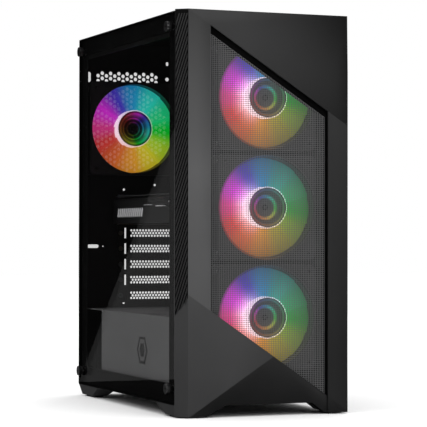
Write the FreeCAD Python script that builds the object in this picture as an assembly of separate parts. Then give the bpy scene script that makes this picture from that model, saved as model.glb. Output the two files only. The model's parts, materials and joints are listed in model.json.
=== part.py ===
import FreeCAD, Part
import math
import os
from FreeCAD import Placement, Rotation, Vector

# A mid-tower desktop computer: a steel chassis with a moulded front bezel and mesh, a tempered
# glass side panel on four thumbscrews, and the computer's own parts inside.
# Millimetres. +Z is up, the front faces -Y, the glass side faces -X, and the origin is on the
# floor under the middle of the case.

# ---- driving dimensions ----
WIDTH, DEPTH, HEIGHT = 210.0, 370.0, 460.0
FOOT_HEIGHT = 14.0
SHEET = 1.0
GLASS_THICKNESS = 4.0
BEZEL_DEPTH = 11.0
SLOT_PITCH = 20.32          # expansion slots, an industry standard
FAN_SIZE, FAN_DEPTH = 120.0, 25.0
FAN_HOLE_SPACING = 105.0
BOARD_DEPTH, BOARD_HEIGHT = 244.0, 305.0   # ATX motherboard

# ---- planes that follow from them ----
LEFT, RIGHT = -WIDTH / 2, WIDTH / 2
FRONT, BACK = -DEPTH / 2, DEPTH / 2
BEZEL_BACK = FRONT + BEZEL_DEPTH
SHELL_LEFT = LEFT + GLASS_THICKNESS + 1.0      # outer face of the steel behind the glass
SHELL_RIGHT = RIGHT - SHEET                    # outer face of the steel behind the right panel
FLOOR = FOOT_HEIGHT                            # underside of the base pan
INSIDE_FLOOR = FLOOR + SHEET
ROOF_TOP = HEIGHT - 4.0
ROOF = ROOF_TOP - SHEET                        # underside of the roof
REAR_WALL = BACK - 2.0                         # inner face of the rear wall
REAR_FACE = REAR_WALL + SHEET                  # outer face of the rear wall
FAN_WALL = BEZEL_BACK + FAN_DEPTH              # the front fans stand in front of this wall
CABIN_FRONT = FAN_WALL + SHEET
TRAY = 78.0                                    # left face of the motherboard tray
SHROUD_TOP = 112.0
SHROUD_LEFT = -97.0
SHROUD_END = 113.0                             # the shroud's side stops here, towards the rear

# ---- places of the main parts ----
FRONT_FAN_X = 8.0
FRONT_FAN_HEIGHTS = {"bottom": 111.5, "middle": 237.5, "top": 363.5}
REAR_FAN_X, REAR_FAN_Z = -38.0, 344.0
SLOT_HEIGHTS = [249.6 - SLOT_PITCH * i for i in range(7)]
COVERED_SLOTS = SLOT_HEIGHTS[2:]               # the graphics card fills the two at the top
BOARD_FACE = TRAY - 8.1                        # the motherboard's component side
BOARD_THICKNESS = 1.6
BOARD_REAR = REAR_WALL - 1.0
BOARD_FRONT = BOARD_REAR - BOARD_DEPTH
BOARD_BOTTOM = 115.0
BOARD_TOP = BOARD_BOTTOM + BOARD_HEIGHT
SUPPLY = {"x": (-80.0, 70.0), "y": (REAR_WALL - 140.0, REAR_WALL), "z": (20.0, 106.0)}
PANEL_SCREW_Y = (-158.0, 171.0)
PANEL_SCREW_Z = (32.0, 442.0)
SIDE_SCREW_X, SIDE_SCREW_Z = 97.5, (60.0, 430.0)

BEZEL_PIN_X, BEZEL_PIN_Z = 94.0, (60.0, 235.0, 405.0)

# ---- fits ----
RUNNING_GAP = 0.05          # shaft in its bearing, radial
THREAD_GAP = 0.10           # thumbscrew in its standoff, radial
SCREW_R = 1.75

PLANES = {
    "XY": Rotation(),
    "XZ": Rotation(Vector(1, 0, 0), 90),
    "YZ": Rotation(Vector(1, 1, 1), 120),
}


# ---- helpers ----
def box(x, y, z):
    """A block between two values on each axis."""
    corner = Vector(min(x), min(y), min(z))
    return Part.makeBox(abs(x[1] - x[0]), abs(y[1] - y[0]), abs(z[1] - z[0]), corner)


def rod(radius, start, end):
    """A cylinder from one point to another."""
    start, end = Vector(*start), Vector(*end)
    axis = end - start
    return Part.makeCylinder(radius, axis.Length, start, axis)


def fuse(shapes):
    """One solid out of shapes that overlap or touch."""
    joined = shapes[0]
    if len(shapes) > 1:
        joined = joined.fuse(shapes[1:])
    return joined.removeSplitter()


def cut(shape, tools):
    return shape.cut(tools) if tools else shape


def polygon(points):
    """A closed wire through 2-D points."""
    corners = [Vector(u, v, 0) for u, v in points]
    return Part.makePolygon(corners + corners[:1])


def circle(u, v, radius):
    return Part.Wire(Part.makeCircle(radius, Vector(u, v, 0)))


def perforation(u, v, radius, sides=10):
    """A punched hole, drawn as a many-sided polygon."""
    step = 2 * math.pi / sides
    return polygon([(u + radius * math.cos((i + 0.5) * step), v + radius * math.sin((i + 0.5) * step))
                    for i in range(sides)])


def rectangle(u, v):
    return polygon([(u[0], v[0]), (u[1], v[0]), (u[1], v[1]), (u[0], v[1])])


def rounded(u, v, radius):
    """A rectangle with round corners."""
    edges = []
    for corner_u, corner_v, turn in ((u[1], v[0], 270), (u[1], v[1], 0), (u[0], v[1], 90),
                                     (u[0], v[0], 180)):
        centre = Vector(corner_u - math.copysign(radius, corner_u - sum(u) / 2),
                        corner_v - math.copysign(radius, corner_v - sum(v) / 2), 0)
        edges.append(Part.makeCircle(radius, centre, Vector(0, 0, 1), turn, turn + 90))
    joined = []
    for here, after in zip(edges, edges[1:] + edges[:1]):
        joined.append(here)
        gap = here.Vertexes[-1].Point.distanceToPoint(after.Vertexes[0].Point)
        if gap > 0.001:
            joined.append(Part.makeLine(here.Vertexes[-1].Point, after.Vertexes[0].Point))
    return Part.Wire(joined)


def plate(plane, start, thickness, outer, holes=()):
    """A sheet on a main plane, from start to start + thickness along the third axis."""
    face = Part.makeFace([outer] + list(holes), "Part::FaceMakerBullseye")
    sheet = face.extrude(Vector(0, 0, thickness))
    shift = {"XY": Vector(0, 0, start), "XZ": Vector(0, start + thickness, 0), "YZ": Vector(start, 0, 0)}
    sheet.Placement = Placement(shift[plane], PLANES[plane])
    return Part.Solid(sheet.Solids[0].Shells[0]) if len(sheet.Solids) == 1 else sheet


def placed(shape, position, direction):
    """A copy of a shape built along +Z, turned to a direction and moved to a position."""
    copy = shape.copy()
    copy.Placement = Placement(Vector(*position), Rotation(Vector(0, 0, 1), Vector(*direction)))
    return copy


def moved(shape, x=0.0, y=0.0, z=0.0):
    copy = shape.copy()
    copy.translate(Vector(x, y, z))
    return copy


def mirrored(shape):
    """The same piece on the other side of the case."""
    return shape.mirror(Vector(0, 0, 0), Vector(1, 0, 0))


def save(node, solids):
    """Write one named piece, or a group of identical ones, to its own STEP file."""
    solids = solids if isinstance(solids, list) else [solids]
    parts = [solid for shape in solids for solid in shape.Solids]
    shape = parts[0] if len(parts) == 1 else Part.makeCompound(parts)
    volume = sum(solid.Volume for solid in parts)
    state = "" if shape.isValid() and volume > 0 else "  NOT VALID"
    print(f"{node}: {len(parts)} solids, {volume / 1000:.1f} cm3{state}")
    shape.exportStep(f"parts/{node}.step")


def hole_grid(u_range, v_range, pitch, radius, keep=lambda u, v: True):
    """Close-packed punched holes: columns across, every other one half a pitch lower."""
    column = pitch * math.sqrt(3) / 2
    holes = []
    for i in range(int((u_range[1] - u_range[0]) / column) + 1):
        u = u_range[0] + i * column
        v = v_range[1] - (pitch / 2 if i % 2 else 0.0)
        while v >= v_range[0]:
            if keep(u, v):
                holes.append(perforation(u, v, radius))
            v -= pitch
    return holes


# ---- steel chassis ----
VENT_PITCH, VENT_R = 6.58, 2.5


def base_pan():
    """The floor, its two upturned rails, and the guides that hold the filter under the supply."""
    slot_half, slot_gap = 1.6, 7.0
    vents = [rounded((x - 24, x + 24), (y - slot_half, y + slot_half), slot_half * 0.99)
             for x in (-32.0, 22.0) for y in [66.0 + slot_gap * i for i in range(14)]]
    floor = plate("XY", FLOOR, SHEET, rectangle((SHELL_LEFT, SHELL_RIGHT), (BEZEL_BACK, REAR_FACE)),
                  vents)
    rail_holes = [circle(y, PANEL_SCREW_Z[0], 4.0) for y in PANEL_SCREW_Y]
    left_rail = plate("YZ", SHELL_LEFT, SHEET, rectangle((BEZEL_BACK, REAR_WALL), (INSIDE_FLOOR, 37.0)),
                      rail_holes)
    right_rail = box((SHELL_RIGHT - SHEET, SHELL_RIGHT), (BEZEL_BACK, REAR_WALL), (INSIDE_FLOOR, 27.0))
    guides = []
    for wall, lip in (((-64.5, -63.5), (-63.5, -60.5)), ((53.5, 54.5), (50.5, 53.5))):
        guides.append(box(wall, (50.0, 182.0), (10.2, FLOOR)))
        guides.append(box(lip, (50.0, 182.0), (10.2, 10.9)))
    stop = box((-63.5, 53.5), (50.0, 51.0), (10.2, FLOOR))
    return fuse([floor, left_rail, right_rail, stop] + guides)


def rear_panel():
    """The rear wall: fan grille, port opening, expansion slots and the supply's opening."""
    def in_vent(x, z):
        over_fan = math.hypot(x - REAR_FAN_X, z - REAR_FAN_Z) < 54.0
        above_fan = -81.0 < x < 1.0 and z > 403.5
        corner_screw = min(math.hypot(x - REAR_FAN_X - sx * FAN_HOLE_SPACING / 2,
                                      z - REAR_FAN_Z - sz * FAN_HOLE_SPACING / 2)
                           for sx in (-1, 1) for sz in (-1, 1)) < 7.0
        return (over_fan or above_fan) and not corner_screw
    column = VENT_PITCH * math.sqrt(3) / 2
    first = -79.7 - 3 * column
    holes = hole_grid((first, 26.0), (286.0, 416.6), VENT_PITCH, VENT_R, in_vent)
    holes += [perforation(REAR_FAN_X + sx * 52.5, REAR_FAN_Z + sz * 52.5, 2.2) for sx in (-1, 1)
              for sz in (-1, 1)]
    holes.append(rectangle((26.0, 70.6), (258.4, 417.2)))
    for z in SLOT_HEIGHTS:
        holes.append(rectangle((-38.0, 62.0), (z - 7.0, z + 7.0)))
    for z in COVERED_SLOTS[:4]:
        holes.append(rectangle((-43.6, -40.8), (z - 6.8, z + 6.8)))
    holes += [perforation(-49.0, z, 1.9) for z in SLOT_HEIGHTS]
    holes.append(rectangle((-74.0, 64.0), (25.0, 101.0)))
    holes += [perforation(x, z, 2.0) for x in (-77.0, 67.0) for z in (26.0, 100.0)]
    holes.append(rounded((-95.0, -89.6), (404.6, 417.8), 2.6))
    holes.append(rounded((-94.0, -78.6), (189.5, 194.0), 2.2))
    small_holes = ((-72.7, 191.7, 0.9), (15.5, 411.2, 2.6), (-44.1, 265.6, 1.6),
                   (-1.4, 272.0, 1.6), (-44.1, 118.1, 1.6))
    holes += [perforation(x, z, r) for x, z, r in small_holes]
    holes.append(rounded((13.8, 17.4), (429.0, 434.0), 1.5))
    holes += [circle(SIDE_SCREW_X, z, SCREW_R + THREAD_GAP) for z in SIDE_SCREW_Z]
    outer = rectangle((SHELL_LEFT, SHELL_RIGHT), (INSIDE_FLOOR, ROOF))
    return plate("XZ", REAR_WALL, SHEET, outer, holes)


POWER_BUTTON = {"x": 62.0, "r": 7.5}
RESET_BUTTON = {"x": 43.0, "r": 3.5}
USB_PLACES = (24.0, 4.0, -16.0)
JACK_PLACES = (-34.0, -48.0)
CONTROLS_Y = -161.0
USB_OPENING = (13.4, 6.0)


def roof_panel():
    """The roof, with a vent under the filter, the control openings and two side flanges."""
    slot_half = 1.6
    holes = [rounded((x - 16, x + 16), (y - slot_half, y + slot_half), slot_half * 0.99)
             for x in (-57.0, -19.0, 19.0, 57.0) for y in [-118.0 + 7.0 * i for i in range(39)]]
    holes += [circle(b["x"], CONTROLS_Y, b["r"] + 0.4) for b in (POWER_BUTTON, RESET_BUTTON)]
    holes += [rectangle((x - USB_OPENING[0] / 2 - 0.8, x + USB_OPENING[0] / 2 + 0.8),
                        (CONTROLS_Y - USB_OPENING[1] / 2 - 0.8, CONTROLS_Y + USB_OPENING[1] / 2 + 0.8))
              for x in USB_PLACES]
    holes += [circle(x, CONTROLS_Y, 4.2) for x in JACK_PLACES]
    top = plate("XY", ROOF, SHEET, rectangle((SHELL_LEFT, SHELL_RIGHT), (BEZEL_BACK, REAR_FACE)), holes)
    rail_holes = [circle(y, PANEL_SCREW_Z[1], 4.0) for y in PANEL_SCREW_Y]
    left_flange = plate("YZ", SHELL_LEFT, SHEET, rectangle((BEZEL_BACK, REAR_WALL), (432.0, ROOF)),
                        rail_holes)
    right_flange = box((SHELL_RIGHT - SHEET, SHELL_RIGHT), (BEZEL_BACK, REAR_WALL), (443.0, ROOF))
    return fuse([top, left_flange, right_flange])


CABLE_HOLES_Z = ((150.0, 185.0), (232.0, 267.0), (314.0, 349.0))
CABLE_HOLE_Y = (-101.0, -76.0)


def motherboard_tray():
    """The plate that the motherboard is screwed to, with its cooler cut-out and cable holes."""
    holes = [rounded((35.0, 150.0), (295.0, 400.0), 8.0)]
    holes += [rounded(CABLE_HOLE_Y, z, 8.0) for z in CABLE_HOLES_Z]
    holes.append(rounded((-14.0, 36.0), (36.0, 98.0), 8.0))
    holes.append(rounded((60.0, 120.0), (424.0, 440.0), 6.0))
    return plate("YZ", TRAY, SHEET, rectangle((CABIN_FRONT, REAR_WALL), (INSIDE_FLOOR, ROOF)), holes)


def front_wall():
    """A pan that opens to the front: three fans sit in it, each over its own round hole."""
    outer = box((SHELL_LEFT + SHEET, SHELL_RIGHT - SHEET), (BEZEL_BACK, CABIN_FRONT),
                (INSIDE_FLOOR, ROOF))
    hollow = box((SHELL_LEFT + 2 * SHEET, SHELL_RIGHT - 2 * SHEET), (BEZEL_BACK - 1, FAN_WALL),
                 (INSIDE_FLOOR + SHEET, ROOF + 1))
    tools = [hollow]
    for height in FRONT_FAN_HEIGHTS.values():
        tools.append(rod(56.0, (FRONT_FAN_X, FAN_WALL - 1, height),
                         (FRONT_FAN_X, CABIN_FRONT + 1, height)))
        for side in (-1, 1):
            for level in (-1, 1):
                x = FRONT_FAN_X + side * FAN_HOLE_SPACING / 2
                z = height + level * FAN_HOLE_SPACING / 2
                tools.append(rod(2.2, (x, FAN_WALL - 1, z), (x, CABIN_FRONT + 1, z)))
    for z in PANEL_SCREW_Z:
        tools.append(rod(4.6, (SHELL_LEFT, PANEL_SCREW_Y[0], z), (SHELL_LEFT + 3, PANEL_SCREW_Y[0], z)))
    for z in (60.0, 300.0):
        tools.append(box((84.0, 98.0), (FAN_WALL - 1, CABIN_FRONT + 1), (z, z + 40.0)))
    tabs = []
    for side in (-1, 1):
        for z in BEZEL_PIN_Z:
            tab = box((side * 86.0, side * (SHELL_RIGHT - 5.0)), (BEZEL_BACK, BEZEL_BACK + SHEET),
                      (z - 9.0, z + 9.0))
            hole = rod(2.6, (side * BEZEL_PIN_X, BEZEL_BACK - 1, z),
                       (side * BEZEL_PIN_X, BEZEL_BACK + 3, z))
            tabs.append(tab.cut(hole))
    right_reach = box((SHELL_RIGHT - 5.0, SHELL_RIGHT - 2 * SHEET), (BEZEL_BACK, BEZEL_BACK + SHEET),
                      (0.0, 1.0))
    bridges = [moved(right_reach, z=z) for z in BEZEL_PIN_Z]
    return fuse([cut(outer, tools)] + tabs + bridges)


def psu_shroud():
    """The cover over the power supply and drives: a top with vents and a left side."""
    vents = [rounded((x - 15, x + 15), (y - 1.5, y + 1.5), 1.48)
             for x in (-30.0, 10.0, 50.0) for y in [-130.0 + 8.0 * i for i in range(14)]]
    vents.append(rounded((-88.0, -70.0), (-60.0, -30.0), 6.0))
    top = plate("XY", SHROUD_TOP - SHEET, SHEET,
                rectangle((SHROUD_LEFT, TRAY), (CABIN_FRONT, REAR_WALL)), vents)
    side = box((SHROUD_LEFT, SHROUD_LEFT + SHEET), (CABIN_FRONT, SHROUD_END),
               (INSIDE_FLOOR, SHROUD_TOP - SHEET))
    return fuse([top, side])


# ---- feet ----
PAD_HEIGHT = 2.0
FOOT_X = (-104.5, -76.0)


def foot(top_y, bottom_y):
    """A hollow-looking wedge foot: wide where it meets the pan, narrower on the floor."""
    top = [(FOOT_X[0], top_y[0]), (FOOT_X[1], top_y[0]), (FOOT_X[1], top_y[1]), (FOOT_X[0], top_y[1])]
    low_x = (FOOT_X[0] + 1.5, FOOT_X[1] - 7.0)
    low = [(low_x[0], bottom_y[0]), (low_x[1], bottom_y[0]), (low_x[1], bottom_y[1]),
           (low_x[0], bottom_y[1])]
    wires = [Part.makePolygon([Vector(x, y, z) for x, y in points + points[:1]])
             for points, z in ((top, FLOOR), (low, PAD_HEIGHT))]
    return Part.makeLoft(wires, True, True)


def feet():
    front = foot((BEZEL_BACK, -109.0), (BEZEL_BACK + 1.5, -138.0))
    rear = foot((107.0, REAR_FACE), (132.0, 174.0))
    return [front, mirrored(front)], [rear, mirrored(rear)]


def foot_pads():
    pads = []
    for y in (-157.0, 153.0):
        pad = plate("XY", 0.0, PAD_HEIGHT, rounded((-101.0, -85.0), (y - 13.0, y + 13.0), 4.0))
        pads += [pad, mirrored(pad)]
    return pads


# ---- fans ----
def spider(bore, base, z, depth, bearing_top):
    """A motor base on four struts, with the bearing tube that the rotor's shaft turns in."""
    ring = rod(bore + 0.8, (0, 0, z), (0, 0, z + depth))
    ring = ring.cut(rod(bore - 1.2, (0, 0, z - 1), (0, 0, z + depth + 1)))
    parts = [rod(base, (0, 0, z), (0, 0, z + depth)), ring]
    for angle in (45, 135, 225, 315):
        strut = box((base - 2, bore), (-2.0, 2.0), (z, z + depth))
        strut.rotate(Vector(), Vector(0, 0, 1), angle)
        parts.append(strut)
    parts.append(rod(3.6, (0, 0, z), (0, 0, bearing_top)))
    return parts


def fan_frame(size, depth, bore, base, hole_spacing):
    """A square fan housing whose intake is at z = 0: two flanges, a round duct and the spider."""
    flange = 3.6
    half, corner = size / 2, 6.0
    hole_r = 2.15 if size > 100 else 1.9
    holes = [circle(0, 0, bore)] + [circle(sx * hole_spacing / 2, sy * hole_spacing / 2, hole_r)
                                    for sx in (-1, 1) for sy in (-1, 1)]
    outline = rounded((-half, half), (-half, half), corner)
    flanges = [plate("XY", z, flange, outline, holes) for z in (0.0, depth - flange)]
    duct_r = min(half - 0.4, bore + 1.8)
    duct = rod(duct_r, (0, 0, 0), (0, 0, depth)).cut(rod(bore, (0, 0, -1), (0, 0, depth + 1)))
    body = fuse(flanges + [duct] + spider(bore, base, depth - 3.0, 3.0, 7.0))
    screws = [rod(hole_r, (sx * hole_spacing / 2, sy * hole_spacing / 2, -1),
                  (sx * hole_spacing / 2, sy * hole_spacing / 2, depth + 1)) for sx in (-1, 1)
              for sy in (-1, 1)]
    shaft_bore = rod(1.5 + RUNNING_GAP, (0, 0, 5), (0, 0, depth - 1.0))
    return cut(body, screws + [shaft_bore])


def rotor(hub, tip, height, blades, pitch, chord, shaft_end):
    """A fan rotor whose front is at z = 0: a cup with a dished front, its shaft, and pitched blades."""
    wall = 1.6
    cup = rod(hub, (0, 0, 0), (0, 0, height)).cut(rod(hub - wall, (0, 0, 4.4), (0, 0, height + 1)))
    dish = Part.makeCone(hub - 2.4, hub * 0.45, 3.0, Vector(0, 0, -0.01), Vector(0, 0, 1))
    ring_space = rod(tip, (0, 0, 0.8), (0, 0, height - 0.4))
    ring_space = ring_space.cut(rod(hub - 0.8, (0, 0, 0), (0, 0, height)))
    parts = [cup.cut(dish)]
    for i in range(blades):
        blade = box((hub - 4, tip + 2), (-chord / 2, chord / 2), (-0.7, 0.7))
        blade.rotate(Vector(), Vector(1, 0, 0), pitch)
        blade.translate(Vector(0, 0, height / 2))
        blade.rotate(Vector(), Vector(0, 0, 1), 360.0 * i / blades)
        parts.append(blade.common(ring_space))
    parts.append(rod(1.5, (0, 0, 4.0), (0, 0, shaft_end)))
    return fuse(parts)


CASE_FAN = {"bore": 57.5, "base": 21.0, "hub": 24.0, "tip": 56.2, "front_gap": 1.5}


def case_fans():
    """The frame and the rotor of one 120 mm case fan, placed at its intake face."""
    frame = fan_frame(FAN_SIZE, FAN_DEPTH, CASE_FAN["bore"], CASE_FAN["base"], FAN_HOLE_SPACING)
    wheel = rotor(CASE_FAN["hub"], CASE_FAN["tip"], 18.5, 9, 38, 27.0, FAN_DEPTH - 4.0)
    wheel.translate(Vector(0, 0, CASE_FAN["front_gap"]))
    places = {f"front_fan_{name}": (FRONT_FAN_X, BEZEL_BACK, z) for name, z in FRONT_FAN_HEIGHTS.items()}
    places["rear_fan"] = (REAR_FAN_X, REAR_WALL - FAN_DEPTH, REAR_FAN_Z)
    for name, place in places.items():
        save(f"{name}_frame", placed(frame, place, (0, 1, 0)))
        save(f"{name}_rotor", placed(wheel, place, (0, 1, 0)))


def screw(head_r, head, shank_r, length):
    """A pan-head machine screw: its head is above z = 0 and its shank below."""
    body = rod(head_r, (0, 0, 0), (0, 0, head)).fuse(rod(shank_r, (0, 0, -length), (0, 0, 0)))
    recess = [box((-head_r * 0.6, head_r * 0.6), (-0.45, 0.45), (head - 1.1, head + 1)),
              box((-0.45, 0.45), (-head_r * 0.6, head_r * 0.6), (head - 1.1, head + 1))]
    return body.removeSplitter().cut(recess)


def case_screws():
    """The screws of the case fans, the expansion slots and the power supply."""
    fan_screw = screw(3.6, 2.2, 2.05, 10.0)
    small_screw = screw(3.0, 2.0, 1.7, 4.0)
    screws = []
    half = FAN_HOLE_SPACING / 2
    corners = [(sx * half, sz * half) for sx in (-1, 1) for sz in (-1, 1)]
    for height in FRONT_FAN_HEIGHTS.values():
        screws += [placed(fan_screw, (FRONT_FAN_X + x, CABIN_FRONT, height + z), (0, 1, 0))
                   for x, z in corners]
    screws += [placed(fan_screw, (REAR_FAN_X + x, REAR_FACE, REAR_FAN_Z + z), (0, 1, 0))
               for x, z in corners]
    screws += [placed(small_screw, (-49.0, REAR_WALL - 0.9, z), (0, -1, 0)) for z in SLOT_HEIGHTS]
    supply_screw = screw(3.0, 2.0, 1.7, 5.0)
    screws += [placed(supply_screw, (x, REAR_FACE, z), (0, 1, 0)) for x in (-77.0, 67.0)
               for z in (26.0, 100.0)]
    return screws


# ---- motherboard and what is on it ----
BOARD_HOLES = [(y, z) for y in (BOARD_REAR - 6.5, BOARD_REAR - 86.0, BOARD_FRONT + 10.0)
               for z in (BOARD_BOTTOM + 6.5, BOARD_BOTTOM + 140.0, BOARD_TOP - 10.0)]
COOLER_Y, COOLER_Z = 92.0, 348.0
SLOT_OFFSET = 4.5           # a card's board sits this far above the middle of its slot
CARD_BOARD_Z = SLOT_HEIGHTS[0] + SLOT_OFFSET


def motherboard():
    holes = [circle(y, z, 2.0) for y, z in BOARD_HOLES]
    return plate("YZ", BOARD_FACE, BOARD_THICKNESS,
                 rectangle((BOARD_FRONT, BOARD_REAR), (BOARD_BOTTOM, BOARD_TOP)), holes)


def standoffs():
    """Hex posts under the motherboard, and the four threaded posts that the glass panel screws into."""
    posts = []
    back = BOARD_FACE + BOARD_THICKNESS
    for y, z in BOARD_HOLES:
        posts.append(plate("YZ", back, TRAY - back, perforation(y, z, 3.2, 6)))
    for y in PANEL_SCREW_Y:
        for z in PANEL_SCREW_Z:
            post = rod(4.0, (SHELL_LEFT - 0.6, y, z), (SHELL_LEFT + 8.0, y, z))
            posts.append(post.cut(rod(SCREW_R + THREAD_GAP, (SHELL_LEFT - 1, y, z),
                                      (SHELL_LEFT + 9, y, z))))
    return posts


def rear_ports():
    """The port shield in the rear wall's opening, with the connector blocks behind it."""
    shield = box((26.4, 70.2), (REAR_WALL, REAR_FACE), (258.8, 416.8))
    blocks, cavities = [], []
    for z in (300.0, 320.0, 340.0):
        blocks.append(box((30.0, BOARD_FACE), (160.0, REAR_WALL), (z - 7.5, z + 7.5)))
        cavities += [box((x - 2.6, x + 2.6), (REAR_WALL - 12.0, REAR_FACE + 1), (z - 6.5, z + 6.5))
                     for x in (38.0, 47.0, 62.0)]
    blocks.append(box((46.0, BOARD_FACE), (158.0, REAR_WALL), (362.0, 400.0)))
    cavities += [box((51.0, 59.0), (REAR_WALL - 10.0, REAR_FACE + 1), (z - 8.0, z + 8.0))
                 for z in (371.0, 391.0)]
    blocks.append(box((32.0, BOARD_FACE), (160.0, REAR_WALL), (264.0, 290.0)))
    cavities += [rod(1.8, (x, REAR_WALL - 12.0, z), (x, REAR_FACE + 1, z))
                 for x in (38.0, 51.0, 64.0) for z in (270.5, 283.5)]
    return cut(fuse([shield] + blocks), cavities)


def heatsink(x, y, z, fins_along, base, pitch, fin):
    """A finned block that stands on the board: a base plate with fins that rise towards -X."""
    parts = [box((x[1] - base, x[1]), y, z)]
    low, high = (y if fins_along == "z" else z)
    count = int((high - low - fin) / pitch) + 1
    for i in range(count):
        start = low + i * pitch
        span = (start, start + fin)
        parts.append(box(x, span, z) if fins_along == "z" else box(x, y, span))
    return fuse(parts)


def board_heatsinks():
    supply_sink = heatsink((44.0, BOARD_FACE), (136.0, 152.0), (300.0, 400.0), "y", 6.0, 6.0, 3.0)
    top_sink = heatsink((50.0, BOARD_FACE), (40.0, 130.0), (402.0, 415.0), "z", 6.0, 6.0, 3.0)
    chipset_sink = heatsink((60.0, BOARD_FACE), (-48.0, 4.0), (140.0, 190.0), "z", 5.0, 5.2, 3.4)
    return [supply_sink, top_sink, chipset_sink]


MEMORY_Y = [22.0 - 9.5 * i for i in range(4)]
MEMORY_Z = (270.0, 403.0)


def board_sockets():
    """Memory and expansion sockets, the main power and drive sockets, and the processor in its socket."""
    sockets = []
    for y in MEMORY_Y:
        body = box((62.0, BOARD_FACE), (y - 3.2, y + 3.2), MEMORY_Z)
        sockets.append(body.cut(box((60.0, 66.0), (y - 0.75, y + 0.75),
                                    (MEMORY_Z[0] + 4, MEMORY_Z[1] - 4))))
    for height in (SLOT_HEIGHTS[0], SLOT_HEIGHTS[3], SLOT_HEIGHTS[5]):
        z = height + SLOT_OFFSET
        body = box((58.6, BOARD_FACE), (25.0, 114.0), (z - 3.7, z + 3.7))
        sockets.append(body.cut(box((58.0, 67.0), (27.0, 112.0), (z - 0.9, z + 0.9))))
    sockets.append(box((57.0, BOARD_FACE), (BOARD_FRONT + 1.0, BOARD_FRONT + 11.0), (305.0, 357.0)))
    sockets.append(box((60.0, BOARD_FACE), (BOARD_FRONT + 1.0, BOARD_FRONT + 13.0), (205.0, 240.0)))
    sockets.append(box((BOARD_FACE - 5.0, BOARD_FACE), (COOLER_Y - 20, COOLER_Y + 20),
                       (COOLER_Z - 20, COOLER_Z + 20)))
    return sockets


def memory_modules():
    modules = []
    for y in (MEMORY_Y[0], MEMORY_Y[2]):
        board = box((33.0, 65.8), (y - 0.6, y + 0.6), (MEMORY_Z[0] + 5, MEMORY_Z[1] - 5))
        spreader = box((28.0, 61.0), (y - 3.4, y + 3.4), (MEMORY_Z[0] + 5, MEMORY_Z[1] - 5))
        vents = [box((27.0, 31.5), (y - 4, y + 4), (z, z + 9.0)) for z in range(282, 385, 18)]
        modules.append(cut(fuse([board, spreader]), vents))
    return modules


COOLER_FAN = {"size": 92.0, "depth": 16.0, "bore": 43.5, "base": 15.0, "hub": 18.0, "tip": 42.4,
              "spacing": 82.5}
COOLER_FAN_X = 18.0


def processor_cooler():
    """The processor's heatsink, and the fan that blows down on it."""
    half = 45.0
    fins_x = (COOLER_FAN_X + COOLER_FAN["depth"], 60.0)
    sink = heatsink(fins_x, (COOLER_Y - half + 3, COOLER_Y + half - 4),
                    (COOLER_Z - half, COOLER_Z + half),
                    "z", 5.0, 4.2, 1.2)
    foot_block = box((60.0, BOARD_FACE - 5.0), (COOLER_Y - 19, COOLER_Y + 19),
                     (COOLER_Z - 19, COOLER_Z + 19))
    save("cooler_heatsink", fuse([sink, foot_block]))
    frame = fan_frame(COOLER_FAN["size"], COOLER_FAN["depth"], COOLER_FAN["bore"], COOLER_FAN["base"],
                      COOLER_FAN["spacing"])
    wheel = rotor(COOLER_FAN["hub"], COOLER_FAN["tip"], 10.5, 7, 32, 24.0, COOLER_FAN["depth"] - 3.0)
    wheel.translate(Vector(0, 0, 1.2))
    place = (COOLER_FAN_X, COOLER_Y, COOLER_Z)
    save("cooler_fan_frame", placed(frame, place, (1, 0, 0)))
    save("cooler_fan_rotor", placed(wheel, place, (1, 0, 0)))


# ---- graphics card ----
CARD_LEFT, CARD_FRONT, CARD_BOTTOM = -60.0, -52.0, 221.0
CARD_FAN = {"x": -7.0, "y": (112.0, 8.0), "bore": 45.0, "base": 12.5, "hub": 15.5, "tip": 43.8}


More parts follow.
